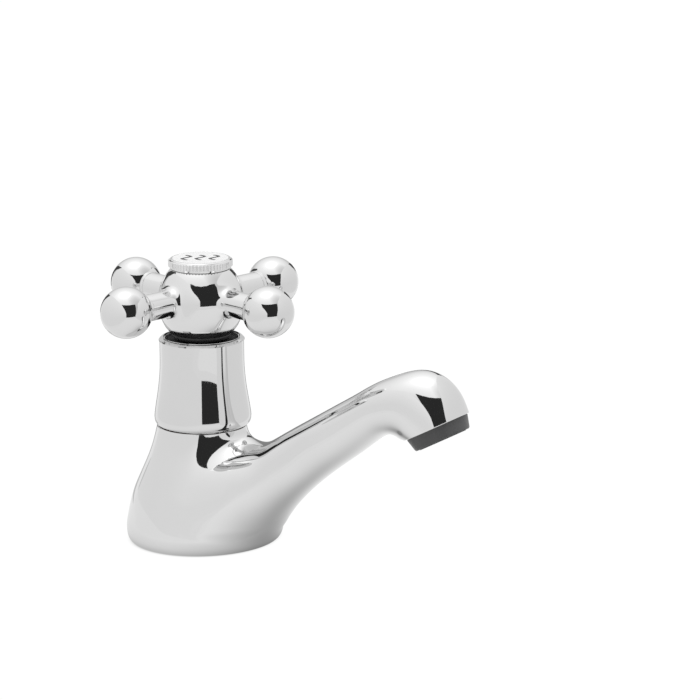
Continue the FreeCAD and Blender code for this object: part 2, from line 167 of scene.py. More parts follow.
def body_field(p):
    dh, b = spout_distance(p)
    dh = dh + 0.06 * np.maximum(0, -1 - p[:, 0]) ** 2      # the spout's root ends inside the column
    z = p[:, 2]
    g = np.exp(-(np.arctan2(p[:, 1], p[:, 0]) / math.radians(55)) ** 2)
    dc = column_distance(p) + g * (-0.68 * np.exp(-((z - 4) / 6) ** 2) + 0.84 * np.exp(-((z - 18) / 7) ** 2)
                                   + 2.33 * np.exp(-((z - 32) / 6) ** 2) + 0.23 * np.exp(-((z + 1) / 4) ** 2))
    k = KB + (KT - KB) * smooth_step(b, -1, 1) + KS * np.maximum(0, 1 - b * b)
    k = KL + (k - KL) * smooth_step(z, 0, 7.87) * smooth_step(p[:, 0], -2.49, 17.71)
    return smooth_min(dc, dh, k)


hub_curve = Spline([p[0] for p in HUB], [p[1] for p in HUB])
hub_lo, hub_hi = HUB[0][0], HUB[-1][0]
arm_dirs = [np.array([math.cos(ARM_ANGLE + k * math.pi / 2), math.sin(ARM_ANGLE + k * math.pi / 2), 0.0]) for k in range(4)]


def hub_field(p):
    z = p[:, 2]
    zc = np.clip(z, hub_lo, hub_hi)
    s = hub_curve(zc, 1)[:, 0]
    r = hub_curve(zc)[:, 0] + s * (z - zc)
    d = (np.hypot(p[:, 0], p[:, 1]) - r) / np.sqrt(1 + np.minimum(s * s, 4))
    a = np.full(len(p), 1e3)
    for k in (0, 1):
        u = arm_dirs[k]
        t = -p[:, 0] * u[1] + p[:, 1] * u[0]
        a = np.minimum(a, np.hypot(t, z - Z_ARM) - R_ARM)
    return smooth_min(d, a, 3.4)


def gradient(f, p, e=0.02):
    g = np.empty_like(p)
    for d in range(3):
        s = np.zeros(3)
        s[d] = e
        g[:, d] = (f(p + s) - f(p - s)) / (2 * e)
    return g


def mesh_field(f, lo, hi, h, relax):
    """Quads on the zero set of f inside a box, evened out, with every point exactly on the surface."""
    lo, hi = np.array(lo, float), np.array(hi, float)
    n = np.ceil((hi - lo) / (4 * h)).astype(int) * 4 + 1
    ax = [lo[i] + h * np.arange(n[i]) for i in range(3)]
    g = np.stack(np.meshgrid(*[a[::4] for a in ax], indexing="ij"), -1)
    fc = f(g.reshape(-1, 3)).reshape(g.shape[:3])
    near = np.abs(fc) < 4 * h * 1.9
    corners = [(i, j, k) for i in (0, 1) for j in (0, 1) for k in (0, 1)]
    cell = np.zeros(np.array(fc.shape) - 1, bool)
    for i, j, k in corners:
        cell |= near[i:fc.shape[0] - 1 + i, j:fc.shape[1] - 1 + j, k:fc.shape[2] - 1 + k]
    val = np.repeat(np.repeat(np.repeat(fc, 4, 0), 4, 1), 4, 2)[:n[0], :n[1], :n[2]].copy()
    need = np.zeros(tuple(n), bool)
    up = np.repeat(np.repeat(np.repeat(cell, 4, 0), 4, 1), 4, 2)
    for i, j, k in corners:
        need[i:i + up.shape[0], j:j + up.shape[1], k:k + up.shape[2]] |= up
    val[need] = f(lo + h * np.argwhere(need))
    ins = val < 0
    c = np.zeros(tuple(n - 1), np.int8)
    for i, j, k in corners:
        c += ins[i:n[0] - 1 + i, j:n[1] - 1 + j, k:n[2] - 1 + k]
    act = (c > 0) & (c < 8)
    idx = -np.ones(act.shape, np.int64)
    a = np.argwhere(act)
    idx[act] = np.arange(len(a))
    acc, cnt = np.zeros((len(a), 3)), np.zeros(len(a))
    vals = {q: val[a[:, 0] + q[0], a[:, 1] + q[1], a[:, 2] + q[2]] for q in corners}
    for q in corners:
        for d in range(3):
            if q[d] == 0:
                r = list(q)
                r[d] = 1
                va, vb = vals[q], vals[tuple(r)]
                m = (va < 0) != (vb < 0)
                t = np.where(m, va / np.where(m, va - vb, 1), 0)
                p = np.array(q, float)[None] + 0 * acc
                p[:, d] = t
                acc += p * m[:, None]
                cnt += m
    p = lo + h * (a + acc / cnt[:, None])
    quads = []
    for d in range(3):
        va = ins[:-1 if d == 0 else None, :-1 if d == 1 else None, :-1 if d == 2 else None]
        vb = ins[1 if d == 0 else None:, 1 if d == 1 else None:, 1 if d == 2 else None:]
        e = np.argwhere(va != vb)
        o1, o2 = [x for x in range(3) if x != d]
        e = e[(e[:, o1] > 0) & (e[:, o2] > 0) & (e[:, o1] < n[o1] - 1) & (e[:, o2] < n[o2] - 1)]
        c10 = e.copy()
        c10[:, o1] -= 1
        c11 = c10.copy()
        c11[:, o2] -= 1
        c01 = e.copy()
        c01[:, o2] -= 1
        q = np.stack([idx[tuple(x.T)] for x in (e, c10, c11, c01)], 1)
        inside = va[tuple(e.T)]
        flip = inside if d != 1 else ~inside
        q[~flip] = q[~flip][:, ::-1]
        quads.append(q)
    q = np.concatenate(quads)
    q = q[(q >= 0).all(1)]

    def project(p, it):
        for _ in range(it):
            v, g = f(p), gradient(f, p)
            p = p - (v / np.maximum((g ** 2).sum(1), 1e-6))[:, None] * g
        return p
    p = project(p, 3)
    e = np.unique(np.sort(np.concatenate([q[:, [0, 1]], q[:, [1, 2]], q[:, [2, 3]], q[:, [3, 0]]]), axis=1), axis=0)
    cnt = np.zeros(len(p))
    np.add.at(cnt, e[:, 0], 1)
    np.add.at(cnt, e[:, 1], 1)
    for _ in range(relax):
        s = np.zeros_like(p)
        np.add.at(s, e[:, 0], p[e[:, 1]])
        np.add.at(s, e[:, 1], p[e[:, 0]])
        p = p + 0.6 * (s / np.maximum(cnt, 1)[:, None] - p)
        p = project(p, 1)
    p = project(p, 2)
    # outward faces
    nrm = gradient(f, p)
    a3 = np.cross(p[q[:, 2]] - p[q[:, 0]], p[q[:, 3]] - p[q[:, 1]])
    if (a3 * nrm[q[:, 0]]).sum() < 0:
        q = q[:, ::-1]
    return p, q


# ------------------------------------------------------------------ mesh building with exact corner normals
def new_object(name, verts, faces, corner_normals, mat, body, replaces=()):
    me = bpy.data.meshes.new(name)
    me.from_pydata((np.asarray(verts) * MM).tolist(), [], [list(map(int, f)) for f in faces])
    me.update()
    me.shade_smooth()
    me.normals_split_custom_set(np.asarray(corner_normals, float).tolist())
    me.update()
    ob = bpy.data.objects.new(name, me)
    bpy.context.scene.collection.objects.link(ob)
    me.materials.append(mat)
    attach(ob, body)
    if replaces:
        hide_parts(*replaces)
    return ob


class Shell:
    """Collects faces with their corner normals, and welds equal points."""

    def __init__(self):
        self.v, self.f, self.n, self.count = [], [], [], 0

    def add(self, verts, faces, corner_normals):
        self.v.append(np.asarray(verts, float))
        self.f += [[int(i) + self.count for i in f] for f in faces]
        self.n.append(np.asarray(corner_normals, float))
        self.count += len(verts)

    def build(self, name, mat, body, replaces=(), tol=1e-4):
        v = np.concatenate(self.v)
        n = np.concatenate(self.n)
        key = np.round(v / tol).astype(np.int64)
        _, first, inv = np.unique(key, axis=0, return_index=True, return_inverse=True)
        inv = inv.reshape(-1)
        faces, normals, at = [], [], 0
        for f in self.f:
            g = [int(inv[i]) for i in f]
            m = n[at:at + len(f)]
            at += len(f)
            keep = [i for i in range(len(g)) if g[i] != g[i - 1]]
            if len(keep) >= 3 and len(set(g[i] for i in keep)) == len(keep):
                faces.append([g[i] for i in keep])
                normals.append(m[keep])
        return new_object(name, v[first], faces, np.concatenate(normals), mat, body, replaces)


def unit(v):
    return v / np.maximum(np.linalg.norm(v, axis=-1, keepdims=True), 1e-12)


def corner_profile(points, closed=False, step=0.35):
    """Pieces of (r, z, nr, nz) rows through the points (r, z[, rounding]). Walked with the outside on the right."""
    pts = [tuple(p) + (0.0,) * (3 - len(p)) for p in points]
    n = len(pts)
    segs, arcs = [], {}
    order = range(n) if closed else range(1, n - 1)
    for i in order:
        r = pts[i][2]
        if r <= 0:
            continue
        p, a, b = (np.array(pts[j % n][:2]) for j in (i, i - 1, i + 1))
        da, db = unit(a - p), unit(b - p)
        turn = math.pi - math.acos(float(np.clip(da @ db, -1, 1)))
        t = r * math.tan(turn / 2)
        t = min(t, 0.49 * np.linalg.norm(a - p), 0.49 * np.linalg.norm(b - p))
        r = t / math.tan(turn / 2)
        s, e = p + da * t, p + db * t
        n1 = np.array([-da[1], da[0]])      # right-hand side of the way in
        n2 = np.array([db[1], -db[0]])
        convex = (n2 - n1) @ (da + db) < 0
        c = s - n1 * r if convex else s + n1 * r
        k = max(2, int(math.ceil(turn / 0.2)), int(math.ceil(r * turn / step / 3)))
        rows = []
        for j in range(k + 1):
            x = j / k
            nn = math.sin((1 - x) * turn) * n1 + math.sin(x * turn) * n2
            nn = unit(nn)
            q = c + nn * r if convex else c - nn * r
            rows.append((q[0], q[1], nn[0], nn[1]))
        rows[0] = (s[0], s[1], n1[0], n1[1])
        rows[-1] = (e[0], e[1], n2[0], n2[1])
        arcs[i] = np.array(rows)
    pieces = []
    for i in range(n if closed else n - 1):
        j = (i + 1) % n
        a = arcs[i][-1, :2] if i in arcs else np.array(pts[i][:2])
        b = arcs[j][0, :2] if j in arcs else np.array(pts[j][:2])
        if np.linalg.norm(b - a) > 1e-6:
            d = unit(b - a)
            pieces.append(np.array([(a[0], a[1], d[1], -d[0]), (b[0], b[1], d[1], -d[0])]))
        if j in arcs:
            pieces.append(arcs[j])
    return pieces


def spline_piece(curve, z0, z1, k):
    """Rows along r(z) from z0 to z1, outside on the right when z rises."""
    z = np.linspace(z0, z1, k)
    r, s = curve(z)[:, 0], curve(z, 1)[:, 0]
    nr = unit(np.stack([np.ones(k), -s], 1))
    return np.column_stack([r, z, nr])


def lathe(shell, pieces, n=160, matrix=None):
    """Turns profile pieces round +Z (or round the axis of matrix) and adds them to the shell."""
    ang = 2 * np.pi * np.arange(n) / n
    co, si = np.cos(ang), np.sin(ang)
    for rows in pieces:
        rows = np.asarray(rows, float)
        ring = np.stack([rows[:, 0:1] * co, rows[:, 0:1] * si, np.repeat(rows[:, 1:2], n, 1)], -1)
        nrm = np.stack([rows[:, 2:3] * co, rows[:, 2:3] * si, np.repeat(rows[:, 3:4], n, 1)], -1)
        if matrix is not None:
            ring = ring @ matrix[:3, :3].T + matrix[:3, 3]
            nrm = nrm @ matrix[:3, :3].T
        k = len(rows)
        i = np.arange(k - 1)[:, None]
        j = np.arange(n)[None]
        a, b = i * n + j, i * n + (j + 1) % n
        f = np.stack([a, b, b + n, a + n], -1).reshape(-1, 4)
        v, m = ring.reshape(-1, 3), nrm.reshape(-1, 3)
        g = np.cross(v[f[:, 2]] - v[f[:, 0]], v[f[:, 3]] - v[f[:, 1]])
        flip = (g * m[f].mean(1)).sum(1) < 0
        f[flip] = f[flip][:, ::-1]
        shell.add(v, f, m[f].reshape(-1, 3))


def axes_matrix(origin, z):
    z = unit(np.asarray(z, float))
    x = unit(np.cross([0, 1, 0] if abs(z[1]) < 0.9 else [1, 0, 0], z))
    m = np.eye(4)
    m[:3, 0], m[:3, 1], m[:3, 2], m[:3, 3] = x, np.cross(z, x), z, origin
    return m


def clip(p, q, planes):
    """Cuts a quad mesh with planes (point, normal); what lies beyond each is removed. Returns points, faces and the cut loops."""
    bm = bmesh.new()
    vs = [bm.verts.new(x) for x in p]
    for f in q:
        bm.faces.new([vs[i] for i in f])
    bm.verts.ensure_lookup_table()
    for co, no in planes:
        bmesh.ops.bisect_plane(bm, geom=bm.verts[:] + bm.edges[:] + bm.faces[:], dist=1e-5,
                               plane_co=Vector(co), plane_no=Vector(no), clear_outer=True)
    # drop anything not joined to the main sheet
    bm.verts.ensure_lookup_table()
    bm.verts.index_update()
    seen, best = set(), []
    for v in bm.verts:
        if v.index in seen:
            continue
        stack, part = [v], []
        seen.add(v.index)
        while stack:
            x = stack.pop()
            part.append(x)
            for e in x.link_edges:
                y = e.other_vert(x)
                if y.index not in seen:
                    seen.add(y.index)
                    stack.append(y)
        if len(part) > len(best):
            best = part
    keep = set(v.index for v in best)
    bmesh.ops.delete(bm, geom=[v for v in bm.verts if v.index not in keep], context="VERTS")
    bmesh.ops.dissolve_degenerate(bm, edges=bm.edges[:], dist=0.02)
    bm.verts.ensure_lookup_table()
    bm.verts.index_update()
    pts = np.array([v.co[:] for v in bm.verts])
    faces = [[v.index for v in f.verts] for f in bm.faces]
    rim = {}
    for e in bm.edges:
        if len(e.link_faces) == 1:
            a, b = e.verts[0].index, e.verts[1].index
            rim.setdefault(a, []).append(b)
            rim.setdefault(b, []).append(a)
    loops, done = [], set()
    for s in rim:
        if s in done:
            continue
        loop, prev, cur = [s], None, s
        done.add(s)
        while True:
            nxt = [x for x in rim[cur] if x != prev]
            nxt = [x for x in nxt if x not in done] or [None]
            if nxt[0] is None:
                break
            prev, cur = cur, nxt[0]
            done.add(cur)
            loop.append(cur)
        loops.append(loop)
    bm.free()
    return pts, faces, loops


def snap_to_plane(f, pts, loop, co, no, it=4):
    """Moves a cut loop's points within its plane until they lie on the surface."""
    no = unit(np.asarray(no, float))
    p = pts[loop]
    for _ in range(it):
        g = gradient(f, p)
        g = g - (g @ no)[:, None] * no
        p = p - (f(p) / np.maximum((g ** 2).sum(1), 1e-6))[:, None] * g
        p = p - ((p - co) @ no)[:, None] * no
    pts[loop] = p


def rim_rows(p, n, plane_n, r, k=4):
    """A rounded edge from a cut loop (points p, surface normals n) over to the plane's own normal."""
    rows = []
    c = p - n * r
    dot = np.clip((n * plane_n).sum(1), -1, 1)
    ang = np.arccos(dot)[:, None]
    for j in range(k + 1):
        x = j / k
        m = (np.sin((1 - x) * ang) * n + np.sin(x * ang) * plane_n) / np.sin(ang)
        m = unit(m)
        rows.append((c + m * r, m))
    return rows


def ring_strip(shell, rows, closed_normal=None):
    """Quads between rows of equal length, each row (points, normals)."""
    k, n = len(rows), len(rows[0][0])
    v = np.concatenate([r[0] for r in rows])
    m = np.concatenate([r[1] for r in rows])
    i, j = np.arange(k - 1)[:, None], np.arange(n)[None]
    a, b = i * n + j, i * n + (j + 1) % n
    f = np.stack([a, b, b + n, a + n], -1).reshape(-1, 4)
    g = np.cross(v[f[:, 2]] - v[f[:, 0]], v[f[:, 3]] - v[f[:, 1]])
    flip = (g * m[f].mean(1)).sum(1) < 0
    f[flip] = f[flip][:, ::-1]
    shell.add(v, f, m[f].reshape(-1, 3))


def ordered_loop(pts, loop, co, x, y):
    """A loop's indices sorted by angle round a point in its plane, with those angles."""
    d = pts[loop] - co
    a = np.arctan2(d @ y, d @ x)
    o = np.argsort(a)
    return np.array(loop)[o], a[o]


def circle_rows(a, co, x, y, r, off):
    """Points of a circle at these angles, with the normals that face its axis."""
    spoke = np.cos(a)[:, None] * x + np.sin(a)[:, None] * y
    return co + r * spoke + off * unit(np.cross(x, y)), -spoke


def plug_hole(shell, a, co, x, y, start, steps, face_n):
    """From a loop inwards: steps are (radius, offset) of a stepped hole, closed by a disc at its end.
    Offsets are measured from co along the plane's normal (x cross y), so they are negative going in."""
    flat_n = np.repeat(face_n[None], len(a), 0)
    ring_strip(shell, [(start, flat_n), (circle_rows(a, co, x, y, *steps[0])[0], flat_n)])
    for (ra, oa), (rb, ob) in zip(steps[:-1], steps[1:]):
        (pa, wall), pb = circle_rows(a, co, x, y, ra, oa), circle_rows(a, co, x, y, rb, ob)[0]
        m = wall if abs(ra - rb) < 1e-9 else flat_n
        ring_strip(shell, [(pa, m), (pb, m)])
    p = circle_rows(a, co, x, y, *steps[-1])[0]
    disc(shell, p, co + steps[-1][1] * unit(np.cross(x, y)), face_n)


def disc(shell, p, centre, n):
    """A fan from a loop of points to its centre, facing n."""
    v, k = np.vstack([p, centre[None]]), len(p)
    f = np.array([[i, (i + 1) % k, k] for i in range(k)])
    if np.cross(v[f[0, 1]] - v[f[0, 0]], v[f[0, 2]] - v[f[0, 0]]) @ n < 0:
        f = f[:, ::-1]
    shell.add(v, f, np.repeat(np.asarray(n, float)[None], 3 * k, 0))


# ------------------------------------------------------------------ materials
def node_tree(name):
    m = bpy.data.materials.new(name)
    m.use_nodes = True
    nt = m.node_tree
    nt.nodes.clear()
    out = nt.nodes.new("ShaderNodeOutputMaterial")
    bsdf = nt.nodes.new("ShaderNodeBsdfPrincipled")
    nt.links.new(bsdf.outputs[0], out.inputs[0])
    return m, nt, bsdf


def noise(nt, scale, detail=3.0, rough=0.5, stretch=None, coord=None):
    tc = coord or nt.nodes.new("ShaderNodeTexCoord").outputs["Object"]
    mp = nt.nodes.new("ShaderNodeMapping")
    nt.links.new(tc, mp.inputs[0])
    if stretch:
        mp.inputs["Scale"].default_value = stretch
    t = nt.nodes.new("ShaderNodeTexNoise")
    t.inputs["Scale"].default_value = scale
    t.inputs["Detail"].default_value = detail
    t.inputs["Roughness"].default_value = rough
    nt.links.new(mp.outputs[0], t.inputs["Vector"])
    return t.outputs["Fac"]


def ramp(nt, fac, lo, hi, a, b):
    """Linear map of fac from lo..hi to a..b."""
    r = nt.nodes.new("ShaderNodeMapRange")
    nt.links.new(fac, r.inputs[0])
    for i, x in zip((1, 2, 3, 4), (lo, hi, a, b)):
        r.inputs[i].default_value = x
    return r.outputs[0]


def colours(nt, fac, stops):
    c = nt.nodes.new("ShaderNodeValToRGB")
    nt.links.new(fac, c.inputs[0])
    e = c.color_ramp.elements
    while len(e) < len(stops):
        e.new(0.5)
    for x, (p, col) in zip(e, stops):
        x.position = p
        x.color = (*col, 1)
    return c.outputs[0]


def bump(nt, height, strength, distance, into, normal=None):
    b = nt.nodes.new("ShaderNodeBump")
    b.inputs["Strength"].default_value = strength
    b.inputs["Distance"].default_value = distance
    nt.links.new(height, b.inputs["Height"])
    if normal is not None:
        nt.links.new(normal, b.inputs["Normal"])
    if into is not None:
        nt.links.new(b.outputs[0], into)
    return b.outputs[0]


def chrome(name, base=0.74, rough=(0.02, 0.055), wave=0.0, tint=(1.0, 1.0, 1.0)):
    """Bright plating: faint haze in patches, a very shallow polish waviness and a slight tone change."""
    m, nt, b = node_tree(name)
    b.inputs["Metallic"].default_value = 1.0
    n1 = noise(nt, 38.0, 4.0, 0.55)
    col = colours(nt, n1, [(0.35, tuple(base * 0.985 * t for t in tint)), (0.65, tuple(base * 1.01 * t for t in tint))])
    nt.links.new(col, b.inputs["Base Color"])
    n2 = noise(nt, 160.0, 5.0, 0.6)
    nt.links.new(ramp(nt, n2, 0.3, 0.7, *rough), b.inputs["Roughness"])
    if wave > 0:
        n3 = noise(nt, 95.0, 1.0, 0.4)
        bump(nt, n3, 1.0, wave, b.inputs["Normal"])
    return m


def turned_metal(name, dark, light, rough, metallic=1.0, ring=900.0, depth=0.00001):
    """Machined metal with fine turning marks round Z and slight tarnish."""
    m, nt, b = node_tree(name)
    b.inputs["Metallic"].default_value = metallic
    n1 = noise(nt, 55.0, 5.0, 0.6)
    nt.links.new(colours(nt, n1, [(0.3, dark), (0.7, light)]), b.inputs["Base Color"])
    n2 = noise(nt, ring, 2.0, 0.5, stretch=(0.05, 0.05, 1.0))
    nt.links.new(ramp(nt, n2, 0.3, 0.7, rough[0], rough[1]), b.inputs["Roughness"])
    bump(nt, n2, 0.6, depth, b.inputs["Normal"])
    return m


def moulded(name, dark, light, rough, grain=1400.0, depth=0.000012, spec=0.5):
    """Moulded plastic or rubber: fine grain and tone drift."""
    m, nt, b = node_tree(name)
    b.inputs["Specular IOR Level"].default_value = spec
    n1 = noise(nt, 90.0, 4.0, 0.6)
    nt.links.new(colours(nt, n1, [(0.3, dark), (0.7, light)]), b.inputs["Base Color"])
    n2 = noise(nt, grain, 3.0, 0.55)
    nt.links.new(ramp(nt, n2, 0.3, 0.7, rough[0], rough[1]), b.inputs["Roughness"])
    bump(nt, n2, 0.7, depth, b.inputs["Normal"])
    return m


def fibre_mat(name):
    """Pressed fibre: dark red-brown, flecked, dull."""
    m, nt, b = node_tree(name)
    n1 = noise(nt, 700.0, 6.0, 0.7, stretch=(1.0, 1.0, 0.25))
    nt.links.new(colours(nt, n1, [(0.3, (0.07, 0.022, 0.014)), (0.55, (0.12, 0.036, 0.024)), (0.75, (0.17, 0.06, 0.04))]), b.inputs["Base Color"])
    b.inputs["Roughness"].default_value = 0.8
    bump(nt, n1, 0.8, 0.00003, b.inputs["Normal"])
    return m


# one plating in four copies that differ only in base brightness: body lighter, shroud darker, as painted light to match
# how bright each piece's reflections are
body_chrome = chrome("body_chrome", 0.745, (0.02, 0.045), 0.0)
shroud_chrome = chrome("shroud_chrome", 0.72, (0.02, 0.04), 0.0)
handle_chrome = chrome("handle_chrome", 0.73, (0.02, 0.04), 0.0)
cap_chrome = chrome("cap_chrome", 0.74, (0.03, 0.06), 0.0)


def satin_top(m):
    """The cap's face is satin inside its polished rim, and the sign cut in it is darkened."""
    nt = m.node_tree
    b = [n for n in nt.nodes if n.type == "BSDF_PRINCIPLED"][0]
    sx = nt.nodes.new("ShaderNodeSeparateXYZ")
    nt.links.new(nt.nodes.new("ShaderNodeTexCoord").outputs["Object"], sx.inputs[0])
    x, y, z = sx.outputs
    rho2 = nt.nodes.new("ShaderNodeMath")
    rho2.operation = "MULTIPLY"
    nt.links.new(x, rho2.inputs[0])
    nt.links.new(x, rho2.inputs[1])
    y2 = nt.nodes.new("ShaderNodeMath")
    y2.operation = "MULTIPLY_ADD"
    nt.links.new(y, y2.inputs[0])
    nt.links.new(y, y2.inputs[1])
    nt.links.new(rho2.outputs[0], y2.inputs[2])
    face = ramp(nt, y2.outputs[0], 0.0088 ** 2, 0.0086 ** 2, 0.0, 1.0)
    high = ramp(nt, z, 0.0880, 0.0882, 0.0, 1.0)
    top = nt.nodes.new("ShaderNodeMath")
    top.operation = "MULTIPLY"
    nt.links.new(face, top.inputs[0])
    nt.links.new(high, top.inputs[1])
    sunk = ramp(nt, z, 0.08909, 0.08904, 0.0, 1.0)
    grain = noise(nt, 2600.0, 3.0, 0.6)
    satin = colours(nt, grain, [(0.3, (0.9, 0.9, 0.9)), (0.7, (0.97, 0.97, 0.97))])
    inks = colours(nt, grain, [(0.3, (0.07, 0.07, 0.072)), (0.7, (0.13, 0.13, 0.132))])
    old = b.inputs["Base Color"].links[0].from_socket
    rough = b.inputs["Roughness"].links[0].from_socket

    def mix(fac, a_, b_):
        n = nt.nodes.new("ShaderNodeMix")
        n.data_type = "RGBA"
        nt.links.new(fac, n.inputs[0])
        nt.links.new(a_, n.inputs[6])
        nt.links.new(b_, n.inputs[7])
        return n.outputs[2]
    both = mix(sunk, satin, inks)
    nt.links.new(mix(top.outputs[0], old, both), b.inputs["Base Color"])
    fine = ramp(nt, grain, 0.3, 0.7, 0.4, 0.5)
    n = nt.nodes.new("ShaderNodeMix")
    nt.links.new(top.outputs[0], n.inputs[0])
    nt.links.new(rough, n.inputs[2])
    nt.links.new(fine, n.inputs[3])
    nt.links.new(n.outputs[0], b.inputs["Roughness"])


satin_top(cap_chrome)
brass = turned_metal("brass", (0.62, 0.42, 0.16), (0.78, 0.56, 0.25), (0.22, 0.34))
steel = turned_metal("steel", (0.5, 0.5, 0.49), (0.62, 0.62, 0.6), (0.2, 0.32))
rubber = moulded("rubber", (0.012, 0.012, 0.013), (0.028, 0.028, 0.029), (0.55, 0.75), 900.0, 0.00002, 0.3)
nylon = moulded("nylon", (0.66, 0.63, 0.56), (0.78, 0.76, 0.7), (0.38, 0.5))
black_plastic = moulded("black_plastic", (0.02, 0.02, 0.021), (0.03, 0.03, 0.031), (0.6, 0.75), 1200.0, 0.000008, 0.12)
nozzle_plastic = moulded("nozzle_plastic", (0.045, 0.045, 0.046), (0.06, 0.06, 0.061), (0.36, 0.46), 1500.0, 0.000006)
skirt_plastic = moulded("skirt_plastic", (0.02, 0.02, 0.021), (0.035, 0.035, 0.036), (0.22, 0.32), 1200.0, 0.000006)
insert_plastic = moulded("insert_plastic", (0.3, 0.31, 0.32), (0.38, 0.39, 0.4), (0.34, 0.46), 1300.0, 0.000008)
fibre = fibre_mat("fibre")

# ------------------------------------------------------------------ tap body
z_ax = np.array([0.0, 0.0, 1.0])
x_ax, y_ax = np.array([1.0, 0, 0]), np.array([0, 1.0, 0])
h_body = 0.8
p, q = mesh_field(body_field, (-26, -27, -1.6), (98, 27, 66), h_body, 6)
edge = 0.3
out_x = np.array([math.cos(OUT_TILT), 0.0, math.sin(OUT_TILT)])
out_y = unit(np.cross(OUT_D, out_x))
neck_co = np.array([0, 0, Z_NECK - edge * 0.95])
foot_co = np.array([0.0, 0, 0.15])
mouth_co = OUT_C - OUT_D * edge * 0.95


def cut_body(p, q):
    """The skin trimmed at the foot, the neck and the mouth, with the neck's plane acting on the column alone."""
    bm_p, faces, loops = clip(p, q, [(foot_co, -z_ax)])
    # the spout rises above the neck's plane, so only faces near the axis are cut there
    bm = bmesh.new()
    vs = [bm.verts.new(x) for x in bm_p]
    for f in faces:
        bm.faces.new([vs[i] for i in f])
    near = [f for f in bm.faces if math.hypot(f.calc_center_median().x, f.calc_center_median().y) < 19.0
            and f.calc_center_median().x < 17.5]
    geom = near + list({e for f in near for e in f.edges}) + list({v for f in near for v in f.verts})
    r = bmesh.ops.bisect_plane(bm, geom=geom, dist=1e-5, plane_co=Vector(neck_co), plane_no=Vector(z_ax))
    far = [v for v in bm.verts if v.co.z > neck_co[2] + 1e-4 and math.hypot(v.co.x, v.co.y) < 18.5 and v.co.x < 17.0]
    bmesh.ops.delete(bm, geom=far, context="VERTS")
    rr = [f for f in bm.faces if (np.array(f.calc_center_median()) - OUT_C) @ OUT_D > -4 and f.calc_center_median().x > 60]
    geom = rr + list({e for f in rr for e in f.edges}) + list({v for f in rr for v in f.verts})
    bmesh.ops.bisect_plane(bm, geom=geom, dist=1e-5, plane_co=Vector(mouth_co), plane_no=Vector(OUT_D))
    far = [v for v in bm.verts if (np.array(v.co) - mouth_co) @ OUT_D > 1e-4 and v.co.x > 60]
    bmesh.ops.delete(bm, geom=far, context="VERTS")
    bm.verts.ensure_lookup_table()
    bm.verts.index_update()
    pts = np.array([v.co[:] for v in bm.verts])
    faces = [[v.index for v in f.verts] for f in bm.faces]
    bm.free()
    return clip(pts, faces, [])


pts, faces, loops = cut_body(p, q)
loops = sorted(loops, key=len)[-3:]
shell = Shell()
named = {}
for lp in loops:
    c = pts[lp].mean(0)
    named["mouth" if c[0] > 50 else "neck" if c[2] > 20 else "foot"] = lp
snap_to_plane(body_field, pts, named["neck"], neck_co, z_ax)
snap_to_plane(body_field, pts, named["foot"], foot_co, z_ax)
snap_to_plane(body_field, pts, named["mouth"], mouth_co, OUT_D)
nrm = unit(gradient(body_field, pts))
flat = [i for f in faces for i in f]
shell.add(pts, faces, nrm[flat])
# neck: rounded edge, flat top, mouth for the headworks, valve chamber with the seat's hole
lp, a = ordered_loop(pts, named["neck"], neck_co, x_ax, y_ax)
rows = rim_rows(pts[lp], nrm[lp], z_ax, edge)
ring_strip(shell, rows)
plug_hole(shell, a, np.array([0, 0, Z_NECK]), x_ax, y_ax, rows[-1][0], [(10.42, -0.02), (10.42, -12.3), (9.4, -12.3), (9.4, -16.3), (5.5, -16.3), (5.5, -18.3)], z_ax)
# foot: the ring that stands on the deck, the seal's recess and the tail's socket
lp, a = ordered_loop(pts, named["foot"], foot_co, x_ax, -y_ax)
rows = rim_rows(pts[lp], nrm[lp], -z_ax, 0.15, 3)
ring_strip(shell, rows)
plug_hole(shell, a, np.array([0, 0, 0.0]), x_ax, -y_ax, rows[-1][0], [(17.5, 0.0), (17.5, -2.5), (10.6, -2.5), (10.6, -3.2), (9.55, -3.2), (9.55, -13.0)], -z_ax)
# mouth: rounded edge, flat ring, nozzle socket, waterway
lp, a = ordered_loop(pts, named["mouth"], mouth_co, out_x, out_y)
rows = rim_rows(pts[lp], nrm[lp], OUT_D, edge)
ring_strip(shell, rows)
mouth_n = unit(np.cross(out_x, out_y))
plug_hole(shell, a, OUT_C, out_x, out_y, rows[-1][0], [(8.72, 0.0), (8.72, -7.0), (4.5, -7.0), (4.5, -12.0)], OUT_D)
shell.build("tap_body_skin", body_chrome, "tap", ["tap_body"])

# ------------------------------------------------------------------ shroud and bush
shroud_curve = Spline([p[0] for p in SHROUD], [p[1] for p in SHROUD])
sh = Shell()
outer = spline_piece(shroud_curve, 36.75, 63.35, 64)
rim = corner_profile([(13.1, 63.3), (13.1, 64.0, 0.62), (10.9, 64.0, 0.5), (10.9, 56.0, 0.3), (12.0, 54.0, 0.6), (13.6, 43.0, 3.0),
                      (13.75, 38.5, 1.0), (13.3, 36.42), (13.85, 36.42, 0.12), (14.26, 36.75)])
rim[0][0] = outer[-1]
rim[-1][-1, :2] = outer[0, :2]
lathe(sh, [outer] + rim, 192)
sh.build("shroud_shell", shroud_chrome, "tap", ["shroud"])
sb = Shell()
lathe(sb, corner_profile([(8.65, 57.0), (10.88, 57.0, 0.2), (10.88, 63.3, 0.15), (10.5, 63.4, 0.3), (6.2, 63.4, 0.3), (6.2, 62.0), (8.65, 62.0)], closed=True), 128)
sb.build("shroud_bush_ring", black_plastic, "tap", ["shroud_bush"])

